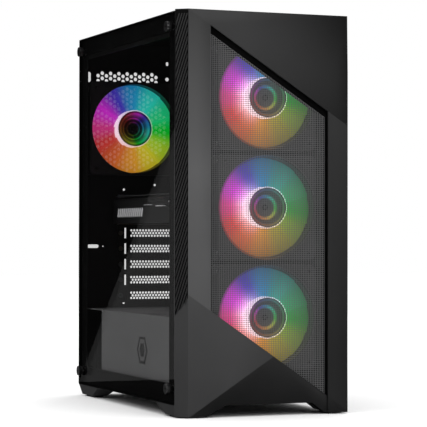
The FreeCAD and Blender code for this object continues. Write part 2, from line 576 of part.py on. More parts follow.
def graphics_card():
    board = box((-44.0, 58.4), (CARD_FRONT + 4.0, REAR_WALL - 3.0),
                (CARD_BOARD_Z - 0.8, CARD_BOARD_Z + 0.8))
    fingers = box((58.4, 66.0), (29.0, 110.0), (CARD_BOARD_Z - 0.8, CARD_BOARD_Z + 0.8))
    socket = box((-52.0, -36.0), (-32.0, -10.0), (CARD_BOARD_Z - 12.0, CARD_BOARD_Z - 0.8))
    save("card_board", fuse([board, fingers, socket]))

    fins = [box((-50.0, 48.0), (y, y + 1.4), (240.0, 248.0)) for y in
            [CARD_FRONT + 48.0 + 5.0 * i for i in range(34)]]
    save("card_heatsink",
         fuse([box((-50.0, 48.0), (CARD_FRONT + 48.0, 166.0), (248.0, CARD_BOARD_Z - 0.8))] + fins))

    wall = 2.0
    x, y, z = (CARD_LEFT, 52.0), (CARD_FRONT, 178.0), (CARD_BOTTOM, 252.0)
    shell = box(x, y, z).cut(box((x[0] + wall, x[1] - wall), (y[0] + wall, y[1] - wall),
                                 (z[0] + wall, z[1] + 1)))
    openings = [rod(CARD_FAN["bore"], (CARD_FAN["x"], fan_y, z[0] - 1),
                    (CARD_FAN["x"], fan_y, z[0] + wall + 1))
                for fan_y in CARD_FAN["y"]]
    side_vents = [box((x[1] - wall - 1, x[1] + 1), (start, start + 12.0), (236.0, 250.0))
                  for start in range(-40, 160, 20)]
    side_vents.append(box((x[0] - 1, x[0] + wall + 1), (-34.0, -8.0), (241.0, 253.0)))
    spiders, bores = [], []
    for fan_y in CARD_FAN["y"]:
        for part in spider(CARD_FAN["bore"], CARD_FAN["base"], 236.6, 1.8, 227.2):
            spiders.append(moved(part, CARD_FAN["x"], fan_y, 0))
        ring = rod(CARD_FAN["bore"] + 1.6, (0, 0, z[0] + wall), (0, 0, 238.4))
        ring = ring.cut(rod(CARD_FAN["bore"], (0, 0, z[0]), (0, 0, 240)))
        spiders.append(moved(ring, CARD_FAN["x"], fan_y, 0))
        bores.append(rod(1.5 + RUNNING_GAP, (CARD_FAN["x"], fan_y, 220.0), (CARD_FAN["x"], fan_y, 237.6)))
    save("card_shroud", cut(fuse([cut(shell, openings + side_vents)] + spiders), bores))

    slots = [rounded((px - 14, px + 14), (py - 1.6, py + 1.6), 1.58)
             for px in (-28.0, 14.0) for py in [-30.0 + 9.0 * i for i in range(10)]]
    save("card_backplate", plate("XY", CARD_BOARD_Z + 0.8, 1.6,
                                 rounded((CARD_LEFT + 1.0, 50.0), (CARD_FRONT + 1.0, 176.0), 5.0), slots))

    ports = [rounded((px - 9.5, px + 9.5), (239.0, 247.0), 1.2) for px in (-26.0, 0.0, 26.0)]
    ports += [perforation(px, 229.0, 2.6, 6) for px in [-36.0 + 7.0 * i for i in range(14)]]
    save("card_bracket", plate("XZ", REAR_WALL - 0.9, 0.9, rectangle((-53.0, 66.0), (220.2, 258.8)),
                               ports + [perforation(-49.0, z, 1.8) for z in SLOT_HEIGHTS[:2]]))

    wheel = rotor(CARD_FAN["hub"], CARD_FAN["tip"], 12.0, 11, 34, 15.5, 14.6)
    for name, fan_y in zip(("rear", "front"), CARD_FAN["y"]):
        save(f"card_fan_{name}_rotor", moved(wheel, CARD_FAN["x"], fan_y, CARD_BOTTOM + 0.6))


def slot_covers():
    """The perforated covers over the expansion slots that no card uses."""
    covers = []
    pitch, row = 4.05, 3.5
    for height in COVERED_SLOTS:
        holes = []
        for level, shift, count in ((row, 0.0, 23), (0.0, pitch / 2, 22), (-row, 0.0, 23)):
            holes += [perforation(-34.0 + shift + pitch * i, height + level, 1.6, 8)
                      for i in range(count)]
        holes.append(rectangle((-43.6, -40.8), (height - 6.8, height + 6.8)))
        holes.append(perforation(-49.0, height, 1.8))
        covers.append(plate("XZ", REAR_WALL - 0.9, 0.9,
                            rectangle((-53.0, 66.0), (height - 9.2, height + 9.2)), holes))
    return covers


# ---- power supply ----
SUPPLY_FAN = {"x": -5.0, "y": 112.0, "bore": 57.0, "base": 19.0, "hub": 22.0, "tip": 55.6}
INLET_X, INLET_Z = -52.0, 82.0
SWITCH_X, SWITCH_Z = -22.0, 82.0
SWITCH_HALF = (6.4, 9.2)
SWITCH_TILT = 8.0


def power_supply():
    x, y, z = SUPPLY["x"], SUPPLY["y"], SUPPLY["z"]
    wall = 1.0
    shell = box(x, y, z).cut(box((x[0] + wall, x[1] - wall), (y[0] + wall, y[1] - wall),
                                 (z[0] + wall, z[1] - wall)))
    fan = (SUPPLY_FAN["x"], SUPPLY_FAN["y"])
    tools = [rod(SUPPLY_FAN["bore"], (*fan, z[0] - 1), (*fan, z[0] + wall + 1))]
    tools.append(box((INLET_X - 13.6, INLET_X + 13.6), (y[1] - 3, y[1] + 1),
                     (INLET_Z - 10.1, INLET_Z + 10.1)))
    tools.append(box((SWITCH_X - 7.4, SWITCH_X + 7.4), (y[1] - 3, y[1] + 1),
                     (SWITCH_Z - 10.4, SWITCH_Z + 10.4)))
    grid = hole_grid((-66.0, 58.0), (28.0, 64.0), 7.4, 3.0)
    grid += hole_grid((-4.0, 58.0), (68.0, 98.0), 7.4, 3.0)
    tools += [placed_hole(wire, y[1]) for wire in grid]
    tools += [rod(1.75, (sx, y[1] - 2, sz), (sx, y[1] + 1, sz)) for sx in (-77.0, 67.0)
              for sz in (26.0, 100.0)]
    duct = rod(SUPPLY_FAN["bore"] + 1.6, (0, 0, z[0] + wall), (0, 0, 44.0))
    duct = duct.cut(rod(SUPPLY_FAN["bore"], (0, 0, z[0]), (0, 0, 45.0)))
    struts = [moved(part, *fan) for part in
              [duct] + spider(SUPPLY_FAN["bore"], SUPPLY_FAN["base"], 41.5, 2.5, 28.6)]
    body = cut(fuse([shell.cut(tools)] + struts), [rod(1.5 + RUNNING_GAP, (*fan, 20.0), (*fan, 43.0))])
    save("power_supply_case", body)

    wheel = rotor(SUPPLY_FAN["hub"], SUPPLY_FAN["tip"], 16.5, 9, 36, 26.0, 18.5)
    save("power_supply_rotor", moved(wheel, *fan, 23.0))

    body = box((INLET_X - 13.5, INLET_X + 13.5), (y[1] - 18.0, REAR_FACE),
               (INLET_Z - 10.0, INLET_Z + 10.0))
    mouth = [(-11.0, -7.0), (11.0, -7.0), (11.0, 3.5), (6.5, 7.5), (-6.5, 7.5), (-11.0, 3.5)]
    cavity = plate("XZ", REAR_FACE - 15.0, 16.0, polygon([(INLET_X + u, INLET_Z + v) for u, v in mouth]))
    pins = [box((INLET_X + px - 1.0, INLET_X + px + 1.0), (REAR_FACE - 15.5, REAR_FACE - 3.0),
                (INLET_Z + pz - 2.0, INLET_Z + pz + 2.0)) for px,
            pz in ((-7.0, -1.0), (0.0, 2.5), (7.0, -1.0))]
    save("power_inlet", fuse([body.cut(cavity)] + pins))

    pivot = Vector(SWITCH_X, REAR_WALL - 3.0, SWITCH_Z)
    half_x, half_z = SWITCH_HALF
    rocker = box((SWITCH_X - half_x, SWITCH_X + half_x), (REAR_WALL - 5.0, REAR_FACE + 0.6),
                 (SWITCH_Z - half_z, SWITCH_Z + half_z))
    rocker = rocker.cut(rod(11.0, (SWITCH_X - 9, REAR_FACE + 10.7, SWITCH_Z),
                            (SWITCH_X + 9, REAR_FACE + 10.7, SWITCH_Z)))
    rocker.rotate(pivot, Vector(1, 0, 0), SWITCH_TILT)
    save("power_switch", rocker)


def placed_hole(wire, wall_y):
    """A punch that goes through the supply's rear wall."""
    punch = Part.Face(wire).extrude(Vector(0, 0, 4.0))
    punch.Placement = Placement(Vector(0, wall_y + 2.0, 0), PLANES["XZ"])
    return punch


# ---- drives ----
def drives():
    cage_x, cage_y, cage_z = (-66.0, 76.0), (-144.0, -40.0), (INSIDE_FLOOR, 92.0)
    outer = box(cage_x, cage_y, cage_z)
    hollow = box((cage_x[0] - 1, cage_x[1] + 1), (cage_y[0] + SHEET, cage_y[1] - SHEET),
                 (cage_z[0] + SHEET, cage_z[1] - SHEET))
    windows = [box((wx, wx + 34.0), (cage_y[0] - 1, cage_y[1] + 1), (30.0, 80.0))
               for wx in (-52.0, -6.0, 40.0)]
    rails = []
    for z in (52.0, 54.0 + 34.0 - 4.0):
        rails += [box(cage_x, (cage_y[0] + SHEET, cage_y[0] + 2.2), (z, z + 1.2)),
                  box(cage_x, (cage_y[1] - 2.2, cage_y[1] - SHEET), (z, z + 1.2))]
    save("drive_cage", fuse([outer.cut([hollow] + windows)] + rails))
    drive = box((-72.0, 75.0), (-142.8, -41.2), (20.0, 46.1))
    notch = [box((40.0, 76.0), (-120.0, -64.0), (19.0, 24.0))]
    rim = [box((-70.0, 30.0), (-138.0, -46.0), (45.3, 47.0))]
    save("hard_drive", drive.cut(notch + rim))
    save("solid_state_drive", box((TRAY + SHEET, TRAY + SHEET + 7.0), (-70.0, 30.0), (190.0, 259.85)))


# ---- glass side ----
GLASS_FRONT, GLASS_BACK = BEZEL_BACK + 0.4, BACK - 0.4
GLASS_Z = (FLOOR + 0.2, HEIGHT - 1.5)
GROMMET_R, GROMMET_FLANGE_R = 3.4, 5.6


def glass_panel():
    holes = [circle(y, z, GROMMET_R) for y in PANEL_SCREW_Y for z in PANEL_SCREW_Z]
    return plate("YZ", LEFT, GLASS_THICKNESS, rounded((GLASS_FRONT, GLASS_BACK), GLASS_Z, 2.0), holes)


def glass_grommets():
    """Rubber sleeves in the glass's holes, so that steel never touches glass."""
    grommets = []
    for y in PANEL_SCREW_Y:
        for z in PANEL_SCREW_Z:
            sleeve = rod(GROMMET_R, (LEFT, y, z), (SHELL_LEFT - 1.0, y, z))
            collar = rod(GROMMET_FLANGE_R, (LEFT - 0.6, y, z), (LEFT, y, z))
            body = fuse([sleeve, collar])
            grommets.append(body.cut(rod(SCREW_R + 0.35, (LEFT - 2, y, z), (SHELL_LEFT, y, z))))
    return grommets


def thumbscrew(length):
    """A knurled thumbscrew: its head rises from z = 0 and its shank goes down."""
    teeth, outer, inner, head = 24, 6.0, 5.6, 4.5
    points = []
    for i in range(teeth):
        for share, radius in ((0.0, inner), (0.28, outer), (0.72, outer)):
            angle = 2 * math.pi * (i + share) / teeth
            points.append((radius * math.cos(angle), radius * math.sin(angle)))
    knurl = plate("XY", 0.5, head - 0.5, polygon(points))
    seat = rod(4.6, (0, 0, 0), (0, 0, 0.5))
    shank = rod(SCREW_R, (0, 0, -length), (0, 0, 0))
    cross = [box((-3.0, 3.0), (-0.6, 0.6), (head - 1.6, head + 1)),
             box((-0.6, 0.6), (-3.0, 3.0), (head - 1.6, head + 1))]
    rim = rod(4.4, (0, 0, head - 0.4), (0, 0, head + 1))
    return fuse([knurl, seat, shank]).cut(cross + [rim])


def thumbscrews():
    fixing = thumbscrew(11.0)
    names = {PANEL_SCREW_Y[0]: "front", PANEL_SCREW_Y[1]: "rear"}
    for y, along in names.items():
        for z, level in zip(PANEL_SCREW_Z, ("bottom", "top")):
            save(f"glass_screw_{level}_{along}", placed(fixing, (LEFT - 0.8, y, z), (-1, 0, 0)))
    side_fixing = thumbscrew(7.0)
    for z, level in zip(SIDE_SCREW_Z, ("bottom", "top")):
        save(f"side_screw_{level}", placed(side_fixing, (SIDE_SCREW_X, BACK + 0.2, z), (0, 1, 0)))


# ---- right side ----
def right_panel():
    """The steel side: a flat sheet with a lip over the roof and a flange on the rear wall."""
    face = box((SHELL_RIGHT + 0.1, RIGHT), (BEZEL_BACK + 0.4, BACK), (FLOOR + 0.2, HEIGHT - 1.5))
    lip = box((92.0, RIGHT), (BEZEL_BACK + 0.4, REAR_FACE - 1.0), (ROOF_TOP + 0.3, ROOF_TOP + 1.2))
    holes = [circle(SIDE_SCREW_X, z, SCREW_R + 0.4) for z in SIDE_SCREW_Z]
    flange = plate("XZ", REAR_FACE + 0.2, BACK - REAR_FACE - 0.2,
                   rectangle((90.0, RIGHT), (FLOOR + 0.2, HEIGHT - 1.5)), holes)
    return fuse([face, lip, flange])


# ---- front bezel ----
CHAMFER_X, CHAMFER_Y = 12.0, 10.0
BEZEL_WALL = 2.4
STRIP_RIGHT = -66.0         # right edge of the plain strip beside the mesh
BAND_LEFT = 79.5            # left edge of the band to the right of the mesh
UPPER_LINE = ((LEFT + CHAMFER_X, HEIGHT), (RIGHT, 332.0))
LOWER_LINE = ((LEFT + CHAMFER_X, 139.0), (BAND_LEFT, 21.0))
APEX_X = 11.5               # where the two lower facets and the mesh meet
ARCH = ((-70.0, 1.5), (-46.0, 13.5), (60.0, 13.5), (77.0, 1.5))
FACET_DROP = 3.0            # how far the dark facets lean back at their far corners
VENT_SLIT = 7.0             # height of the open slit under the upper facet


def on_line(line, x):
    (x0, z0), (x1, z1) = line
    return z0 + (z1 - z0) * (x - x0) / (x1 - x0)


def slab_behind(points, reach):
    """A wedge in front of a plane through three points: cutting with it leaves that plane."""
    a, b, c = [Vector(*p) for p in points]
    normal = (b - a).cross(c - a)
    normal.normalize()
    if normal.y > 0:
        normal = normal * -1
    face = Part.makePlane(reach, reach, a, normal)
    face.translate((a - face.CenterOfMass))
    return face.extrude(normal * 40.0)


def bezel_block():
    back = BEZEL_BACK - 0.2
    plan = [(LEFT, back), (LEFT, FRONT + CHAMFER_Y), (LEFT + CHAMFER_X, FRONT), (RIGHT - 1.5, FRONT),
            (RIGHT, FRONT + 1.5), (RIGHT, back)]
    return plate("XY", 1.5, HEIGHT - 1.5, polygon(plan))


def faceted(block, depth=0.0):
    """Lean the upper and the lower dark facets back from the front plane."""
    front = FRONT + depth
    upper = slab_behind([(UPPER_LINE[0][0], front, UPPER_LINE[0][1]),
                         (UPPER_LINE[1][0], front, UPPER_LINE[1][1]),
                         (RIGHT, front + FACET_DROP, HEIGHT)], 900.0)
    apex = (APEX_X, front, on_line(LOWER_LINE, APEX_X))
    lower = slab_behind([apex, (LEFT + CHAMFER_X, front, 0.0), (BAND_LEFT, front + FACET_DROP, 0.0)],
                        900.0)
    upper_zone = plate("XZ", FRONT - 50.0, 100.0,
                       polygon([UPPER_LINE[0], (RIGHT + 9, on_line(UPPER_LINE, RIGHT + 9)),
                                                          (RIGHT + 9, HEIGHT + 9),
                                (LEFT + CHAMFER_X, HEIGHT + 9)]))
    lower_zone = plate("XZ", FRONT - 50.0, 100.0, polygon([(APEX_X, on_line(LOWER_LINE, APEX_X)),
                                                          (LEFT + CHAMFER_X, 0.0),
                                                           (LEFT + CHAMFER_X, -9.0),
                                                          (BAND_LEFT, -9.0), LOWER_LINE[1]]))
    return block.cut([upper.common(upper_zone), lower.common(lower_zone)])


def mesh_window():
    slit_left = on_line(UPPER_LINE, STRIP_RIGHT)
    return [(STRIP_RIGHT, on_line(LOWER_LINE, STRIP_RIGHT)), (BAND_LEFT, LOWER_LINE[1][1]),
            (BAND_LEFT, on_line(UPPER_LINE, BAND_LEFT)), (STRIP_RIGHT, slit_left)]


def front_bezel():
    """The moulded front: a hollow shell with leaning facets, the mesh window and a low arch."""
    block = faceted(bezel_block())
    wall = BEZEL_WALL
    plan = [(LEFT + wall, BEZEL_BACK + 1), (LEFT + wall, FRONT + CHAMFER_Y + 0.8),
            (LEFT + CHAMFER_X + 0.8, FRONT + wall), (RIGHT - wall, FRONT + wall),
            (RIGHT - wall, BEZEL_BACK + 1)]
    hollow = faceted(plate("XY", 18.0, HEIGHT - 18.0 - wall, polygon(plan)), wall)
    window = plate("XZ", FRONT - 9.0, 18.0, polygon(mesh_window()))
    arch = plate("XZ", FRONT - 9.0, 30.0,
                 polygon([(ARCH[0][0] - 4, -1.0)] + list(ARCH) + [(ARCH[3][0] + 4, -1.0)]))
    ledge = plate("XZ", LEDGE_FACE, 1.0, polygon(beside_line(UPPER_LINE, 8.0, -VENT_SLIT - 4.0)))
    ledge_rib = plate("XZ", FRONT + 1.0, LEDGE_FACE + 1.0 - FRONT - 1.0,
                      polygon(beside_line(UPPER_LINE, 8.0, 6.0)))
    side_low, side_high = LOWER_LINE[1][1] - 4.0, on_line(UPPER_LINE, BAND_LEFT)
    side_ledge = box((BAND_LEFT - 7.0, BAND_LEFT + 4.0), (LEDGE_FACE, LEDGE_FACE + 1.0),
                     (side_low, side_high))
    side_rib = box((BAND_LEFT + 2.0, BAND_LEFT + 4.0), (FRONT + 1.0, LEDGE_FACE + 1.0),
                   (side_low, side_high))
    extras = [ledge, ledge_rib, side_ledge, side_rib]
    for x in (-BEZEL_PIN_X, BEZEL_PIN_X):
        for z in BEZEL_PIN_Z:
            extras.append(rod(2.2, (x, FRONT + 6.0, z), (x, BEZEL_BACK + 6.0, z)))
            extras.append(rod(4.0, (x, FRONT + 6.0, z), (x, BEZEL_BACK - 0.4, z)))
            extras.append(box((x - 0.8, x + 0.8), (FRONT + 2.0, BEZEL_BACK - 0.4), (z - 14, z + 14)))
    return fuse([cut(block, [hollow, window, arch])] + extras)


def beside_line(line, above, below):
    """A strip along the upper edge of the mesh window, between two heights from that edge."""
    ends = (STRIP_RIGHT - 2.0, BAND_LEFT + 4.0)
    top = [(x, on_line(line, x) + above) for x in ends]
    bottom = [(x, on_line(line, x) + below) for x in ends]
    return top + bottom[::-1]


MESH_FACE = FRONT + 4.0
LEDGE_FACE = FRONT + 5.2


def front_mesh():
    """The steel mesh insert behind the window; it stands clear of the right band and the slit."""
    right = BAND_LEFT - 3.6
    edge, gap = 3.0, 0.6
    left = STRIP_RIGHT - edge
    outline = [(left, on_line(LOWER_LINE, left) - edge),
               (APEX_X - 6.0, on_line(LOWER_LINE, APEX_X - 6.0) - edge),
               (APEX_X - 6.0, on_line(LOWER_LINE, APEX_X - 6.0) + gap),
               (right, on_line(LOWER_LINE, right) + gap),
               (right, on_line(UPPER_LINE, right) - VENT_SLIT),
               (left, on_line(UPPER_LINE, left) - VENT_SLIT)]
    return plate("XZ", MESH_FACE, 0.8, polygon(outline))


# ---- filters, buttons and ports ----
def top_filter():
    """The magnetic dust filter on the roof: a thin frame around fine cloth, made as one sheet."""
    return plate("XY", ROOF_TOP + 0.05, 2.0, rounded((-82.0, 82.0), (-128.0, 162.0), 4.0))


def supply_filter():
    """The slide-out dust filter under the supply, with a finger tab at the rear."""
    frame = box((-63.0, 53.0), (51.4, 182.0), (11.3, 13.6))
    tab = box((-25.0, 15.0), (182.0, BACK + 2.0), (11.3, 13.6))
    return fuse([frame, tab])


BUTTON_TRAVEL = 1.5


def buttons():
    for node, button in (("power_button", POWER_BUTTON), ("reset_button", RESET_BUTTON)):
        cap = rod(button["r"], (button["x"], CONTROLS_Y, 451.5),
                  (button["x"], CONTROLS_Y, ROOF_TOP + 2.0))
        collar = rod(button["r"] + 1.6, (button["x"], CONTROLS_Y, 451.5),
                     (button["x"], CONTROLS_Y, 453.2))
        save(node, fuse([cap, collar]))


def front_ports():
    """The control board under the roof, with its sockets and the switches under the buttons."""
    board = box((-58.0, 76.0), (CONTROLS_Y - 10.0, CONTROLS_Y + 10.0), (443.0, 444.6))
    parts, cavities = [board], []
    half_u, half_v = USB_OPENING[0] / 2, USB_OPENING[1] / 2
    for x in USB_PLACES:
        parts.append(box((x - half_u - 0.7, x + half_u + 0.7),
                         (CONTROLS_Y - half_v - 0.7, CONTROLS_Y + half_v + 0.7),
                         (444.6, ROOF_TOP + 0.6)))
        cavities.append(box((x - half_u, x + half_u), (CONTROLS_Y - half_v, CONTROLS_Y + half_v),
                            (446.5, 460.0)))
    tongues = [box((x - 5.6, x + 5.6), (CONTROLS_Y - 2.2, CONTROLS_Y - 0.3), (446.0, ROOF_TOP - 0.5))
               for x in USB_PLACES]
    for x in JACK_PLACES:
        parts.append(rod(4.0, (x, CONTROLS_Y, 444.6), (x, CONTROLS_Y, ROOF_TOP + 0.6)))
        cavities.append(rod(1.8, (x, CONTROLS_Y, 445.6), (x, CONTROLS_Y, 460.0)))
    for button in (POWER_BUTTON, RESET_BUTTON):
        parts.append(box((button["x"] - 3.0, button["x"] + 3.0), (CONTROLS_Y - 3.0, CONTROLS_Y + 3.0),
                         (444.6, 449.6)))
    return fuse([cut(fuse(parts), cavities)] + tongues)


# ---- cables ----
def cable(points, radius):
    """A round cable along straight runs joined by arcs as large as the runs allow."""
    points = [Vector(*p) for p in points]
    edges, start, radii = [], points[0], []
    for before, corner, after in zip(points, points[1:], points[2:]):
        come, leave = corner - before, after - corner
        turn = come.getAngle(leave)
        reach = 0.45 * min(come.Length, leave.Length)
        bend = reach / math.tan(turn / 2)
        radii.append(round(bend, 1))
        come.normalize()
        leave.normalize()
        arc_start, arc_end = corner - come * reach, corner + leave * reach
        inward = leave - come
        inward.normalize()
        centre = corner + inward * (bend / math.cos(turn / 2))
        middle = centre - inward * bend
        edges.append(Part.LineSegment(start, arc_start).toShape())
        edges.append(Part.Arc(arc_start, middle, arc_end).toShape())
        start = arc_end
    edges.append(Part.LineSegment(start, points[-1]).toShape())
    path = Part.Wire(edges)
    first = points[1] - points[0]
    section = Part.Wire(Part.makeCircle(radius, points[0], first))
    tube = path.makePipeShell([section], True, False)
    share = tube.Volume / (math.pi * radius ** 2 * path.Length)
    print(f"  cable {path.Length:.0f} mm long, bends {radii}, volume {share:.3f} of section times length")
    return tube


MAIN_CABLE_R, CARD_CABLE_R = 4.5, 3.0
MAIN_ROUTE = [(47.0, -56.0, 331.5), (31.0, -57.0, 331.5), (30.0, -80.5, 331.5), (54.0, -88.5, 330.5),
              (84.0, -87.5, 328.5), (91.0, -80.5, 303.5), (91.5, -76.5, 250.0), (91.0, -66.5, 195.0),
              (92.0, -50.5, 145.0), (91.5, -26.5, 105.0), (88.0, -2.5, 78.0), (64.0, 7.0, 69.0),
              (36.0, 18.0, 70.0), (36.0, 43.0, 70.0)]
CARD_ROUTE = [(-68.0, -21.0, 247.5), (-86.0, -24.5, 248.5), (-86.0, -42.0, 246.5),
              (-74.0, -64.0, 238.0), (-52.0, -76.0, 215.0), (-24.0, -82.0, 195.0),
              (20.0, -86.5, 176.0), (58.0, -88.5, 168.5), (84.0, -85.5, 164.0), (92.0, -74.5, 150.0),
              (93.0, -54.5, 118.0), (93.0, -26.5, 88.0), (86.0, 1.5, 62.0), (68.0, 12.0, 52.0),
              (46.0, 20.0, 50.0), (46.0, 43.0, 50.0)]


def cables():
    """Both run from their plugs through a hole in the tray, down behind it and to the supply."""
    plug = box((47.0, 57.0), (BOARD_FRONT + 1.5, BOARD_FRONT + 10.5), (306.0, 356.0))
    save("main_power_cable", fuse([plug, cable(MAIN_ROUTE, MAIN_CABLE_R)]))
    card_plug = box((-68.0, -52.0), (-31.0, -11.0), (CARD_BOARD_Z - 11.5, CARD_BOARD_Z - 1.5))
    save("card_power_cable", fuse([card_plug, cable(CARD_ROUTE, CARD_CABLE_R)]))


def main():
    os.makedirs("parts", exist_ok=True)
    save("base_pan", base_pan())
    save("rear_panel", rear_panel())
    save("roof_panel", roof_panel())
    save("motherboard_tray", motherboard_tray())
    save("front_wall", front_wall())
    save("psu_shroud", psu_shroud())
    front_feet, rear_feet = feet()
    save("front_feet", front_feet)
    save("rear_feet", rear_feet)
    save("foot_pads", foot_pads())
    case_fans()
    save("case_screws", case_screws())
    save("motherboard", motherboard())
    save("standoffs", standoffs())
    save("rear_ports", rear_ports())
    save("board_heatsinks", board_heatsinks())
    save("board_sockets", board_sockets())
    save("memory_modules", memory_modules())
    processor_cooler()
    graphics_card()
    save("slot_covers", slot_covers())
    power_supply()
    drives()
    save("glass_panel", glass_panel())
    save("glass_grommets", glass_grommets())
    thumbscrews()
    save("right_panel", right_panel())
    save("front_bezel", front_bezel())
    save("front_mesh", front_mesh())
    save("top_filter", top_filter())
    save("supply_filter", supply_filter())
    buttons()
    save("front_ports", front_ports())
    cables()


main()
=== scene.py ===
# %% [markdown]
# # A desktop computer tower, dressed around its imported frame
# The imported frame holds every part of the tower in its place: the steel case, the board, the
# fans, the glass side and the moulded front. This lesson gives each of them a finish, and
# models by hand the pieces whose shape needs more than the frame has: the ribbed edge of the
# front, the fine steel mesh, the lit fan rotors, the printed border of the glass and others.

# %% Load the frame
import json
import math

import bpy
from mathutils import Matrix, Vector


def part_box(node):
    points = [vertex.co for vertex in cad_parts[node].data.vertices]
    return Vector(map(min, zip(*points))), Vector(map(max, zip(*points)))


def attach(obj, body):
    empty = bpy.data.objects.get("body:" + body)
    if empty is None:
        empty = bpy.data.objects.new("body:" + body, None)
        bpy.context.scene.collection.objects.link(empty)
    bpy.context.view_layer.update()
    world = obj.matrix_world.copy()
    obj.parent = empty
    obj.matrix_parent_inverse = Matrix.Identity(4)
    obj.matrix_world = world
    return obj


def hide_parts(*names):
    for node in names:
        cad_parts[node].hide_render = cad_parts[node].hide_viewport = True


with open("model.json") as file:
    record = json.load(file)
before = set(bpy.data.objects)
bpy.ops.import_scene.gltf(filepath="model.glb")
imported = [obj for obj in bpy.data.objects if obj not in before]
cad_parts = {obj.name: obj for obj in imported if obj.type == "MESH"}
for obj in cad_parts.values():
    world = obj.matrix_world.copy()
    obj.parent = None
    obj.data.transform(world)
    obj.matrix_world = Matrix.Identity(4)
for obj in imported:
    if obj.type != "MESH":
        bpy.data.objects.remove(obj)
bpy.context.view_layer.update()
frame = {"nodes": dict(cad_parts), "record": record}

nodes = frame["nodes"]
MM = 0.001

# %% [markdown]
# ## Camera
# The tower is seen from its front and its glass side, from far away with a long lens, with
# the eye low, at less than half of the tower's height. A long lens keeps the upright edges
# nearly parallel, so only yaw and a slight upward tilt are needed.

# %% Camera
EYE = (-0.868, -2.247, 0.201)
TILT_UP, ROLL, YAW = 0.75, -0.08, -21.34
LENS, SENSOR, FAR_CLIP = 165.7, 36.0, 60.0


def linked(name, data):
    """A new object with this data, placed in the scene."""
    obj = bpy.data.objects.new(name, data)
    bpy.context.collection.objects.link(obj)
    return obj


camera = linked("camera", bpy.data.cameras.new("camera"))
camera.location = EYE
camera.rotation_euler = [math.radians(angle) for angle in (90.0 + TILT_UP, ROLL, YAW)]
camera.data.lens = LENS
camera.data.sensor_width = SENSOR
camera.data.clip_end = FAR_CLIP
bpy.context.scene.camera = camera
bpy.context.scene.view_settings.view_transform = "Standard"
print("camera at", tuple(round(v, 3) for v in camera.location))

# %% [markdown]
# ## Small helpers for modelling
# Operators act on everything that is selected, so each piece starts from an empty selection.
# A finished piece has its place in its mesh: the object's own location, turn and scale are
# applied at the end, and it then rides on a body of the frame.


# %% Helpers for selecting and finishing
def deselect():
    """Leave edit mode and select nothing."""
    if bpy.context.object and bpy.context.object.mode != "OBJECT":
        bpy.ops.object.mode_set(mode="OBJECT")
    bpy.ops.object.select_all(action="DESELECT")


def only(*objects):
    """Select just these objects, with the first one active."""
    deselect()
    for one in objects:
        one.select_set(True)
    bpy.context.view_layer.objects.active = objects[0]
    return objects[0]


def edit(obj, mode="FACE"):
    """Enter edit mode with the whole mesh selected."""
    only(obj)
    bpy.ops.object.mode_set(mode="EDIT")
    bpy.ops.mesh.select_mode(type=mode)
    bpy.ops.mesh.select_all(action="SELECT")


def pick(obj, test, mode="FACE"):
    """In edit mode, select the faces (or vertices) whose centre and normal pass a test."""
    bpy.ops.object.mode_set(mode="OBJECT")
    mesh = obj.data
    for group in (mesh.vertices, mesh.edges, mesh.polygons):
        group.foreach_set("select", [False] * len(group))
    chosen = 0
    for item in mesh.polygons if mode == "FACE" else mesh.vertices:
        centre = item.center if mode == "FACE" else item.co
        item.select = bool(test(centre, item.normal))
        chosen += item.select
    bpy.ops.object.mode_set(mode="EDIT")
    bpy.ops.mesh.select_mode(type=mode)
    return chosen


def apply_modifier(obj, kind, **settings):
    """Add one modifier and apply it at once."""
    only(obj)
    modifier = obj.modifiers.new(kind.lower(), kind)
    for key, value in settings.items():
        setattr(modifier, key, value)
    bpy.ops.object.modifier_apply(modifier=modifier.name)
    return obj


def soften(obj, width, segments=2, angle=30.0):
    """Round the sharp edges a little, as moulding and punching leave them."""
    apply_modifier(obj, "BEVEL", width=width, segments=segments, limit_method="ANGLE",
                   angle_limit=math.radians(angle), use_clamp_overlap=True)
    only(obj)
    bpy.ops.object.shade_smooth_by_angle(angle=math.radians(35))
    return obj


def settle():
    """Move the active object's place, turn and scale into its mesh."""
    bpy.ops.object.transform_apply(location=True, rotation=True, scale=True)


def finish_piece(obj, name, body, material=None, replaces=()):
    """Put the place into the mesh, name the piece and fix it to its body."""
    only(obj)
    settle()
    obj.name = obj.data.name = name
    if material:
        obj.data.materials.clear()
        obj.data.materials.append(material)
    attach(obj, body)
    if replaces:
        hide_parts(*replaces)
    print("piece", name, "faces", len(obj.data.polygons))
    return obj


def block(x, y, z):
    """A cube primitive stretched between two values on each axis, in millimetres."""
    deselect()
    centre = [sum(v) / 2 * MM for v in (x, y, z)]
    bpy.ops.mesh.primitive_cube_add(size=1.0, location=centre)
    obj = bpy.context.object
    obj.scale = [abs(v[1] - v[0]) * MM for v in (x, y, z)]
    settle()
    return obj


def rod(axis, radius, length, middle=(0, 0, 0), sides=32):
    """A cylinder primitive along X or Y, in millimetres."""
    deselect()
    turn = (0, math.pi / 2, 0) if axis == "X" else (math.pi / 2, 0, 0)
    bpy.ops.mesh.primitive_cylinder_add(vertices=sides, radius=radius * MM, depth=length * MM,
                                        location=[v * MM for v in middle], rotation=turn)
    settle()
    return bpy.context.object


def terrace(direction, steps):
    """Inset the selected faces step by step, and push each inset along a direction."""
    for inward, along in steps:
        bpy.ops.mesh.inset(thickness=inward * MM)
        if along:
            bpy.ops.transform.translate(value=[part * along * MM for part in direction])


def carve(obj, tool, operation="DIFFERENCE"):
    """Cut a piece with another object, which is then thrown away."""
    apply_modifier(obj, "BOOLEAN", operation=operation, object=tool, solver="EXACT")
    bpy.data.objects.remove(tool)


def joined(objects):
    """Join these objects into the first one."""
    only(*objects)
    bpy.ops.object.join()
    return objects[0]


def copy_of(obj):
    """A copy with a mesh of its own."""
    twin = obj.copy()
    twin.data = obj.data.copy()
    bpy.context.collection.objects.link(twin)
    return twin


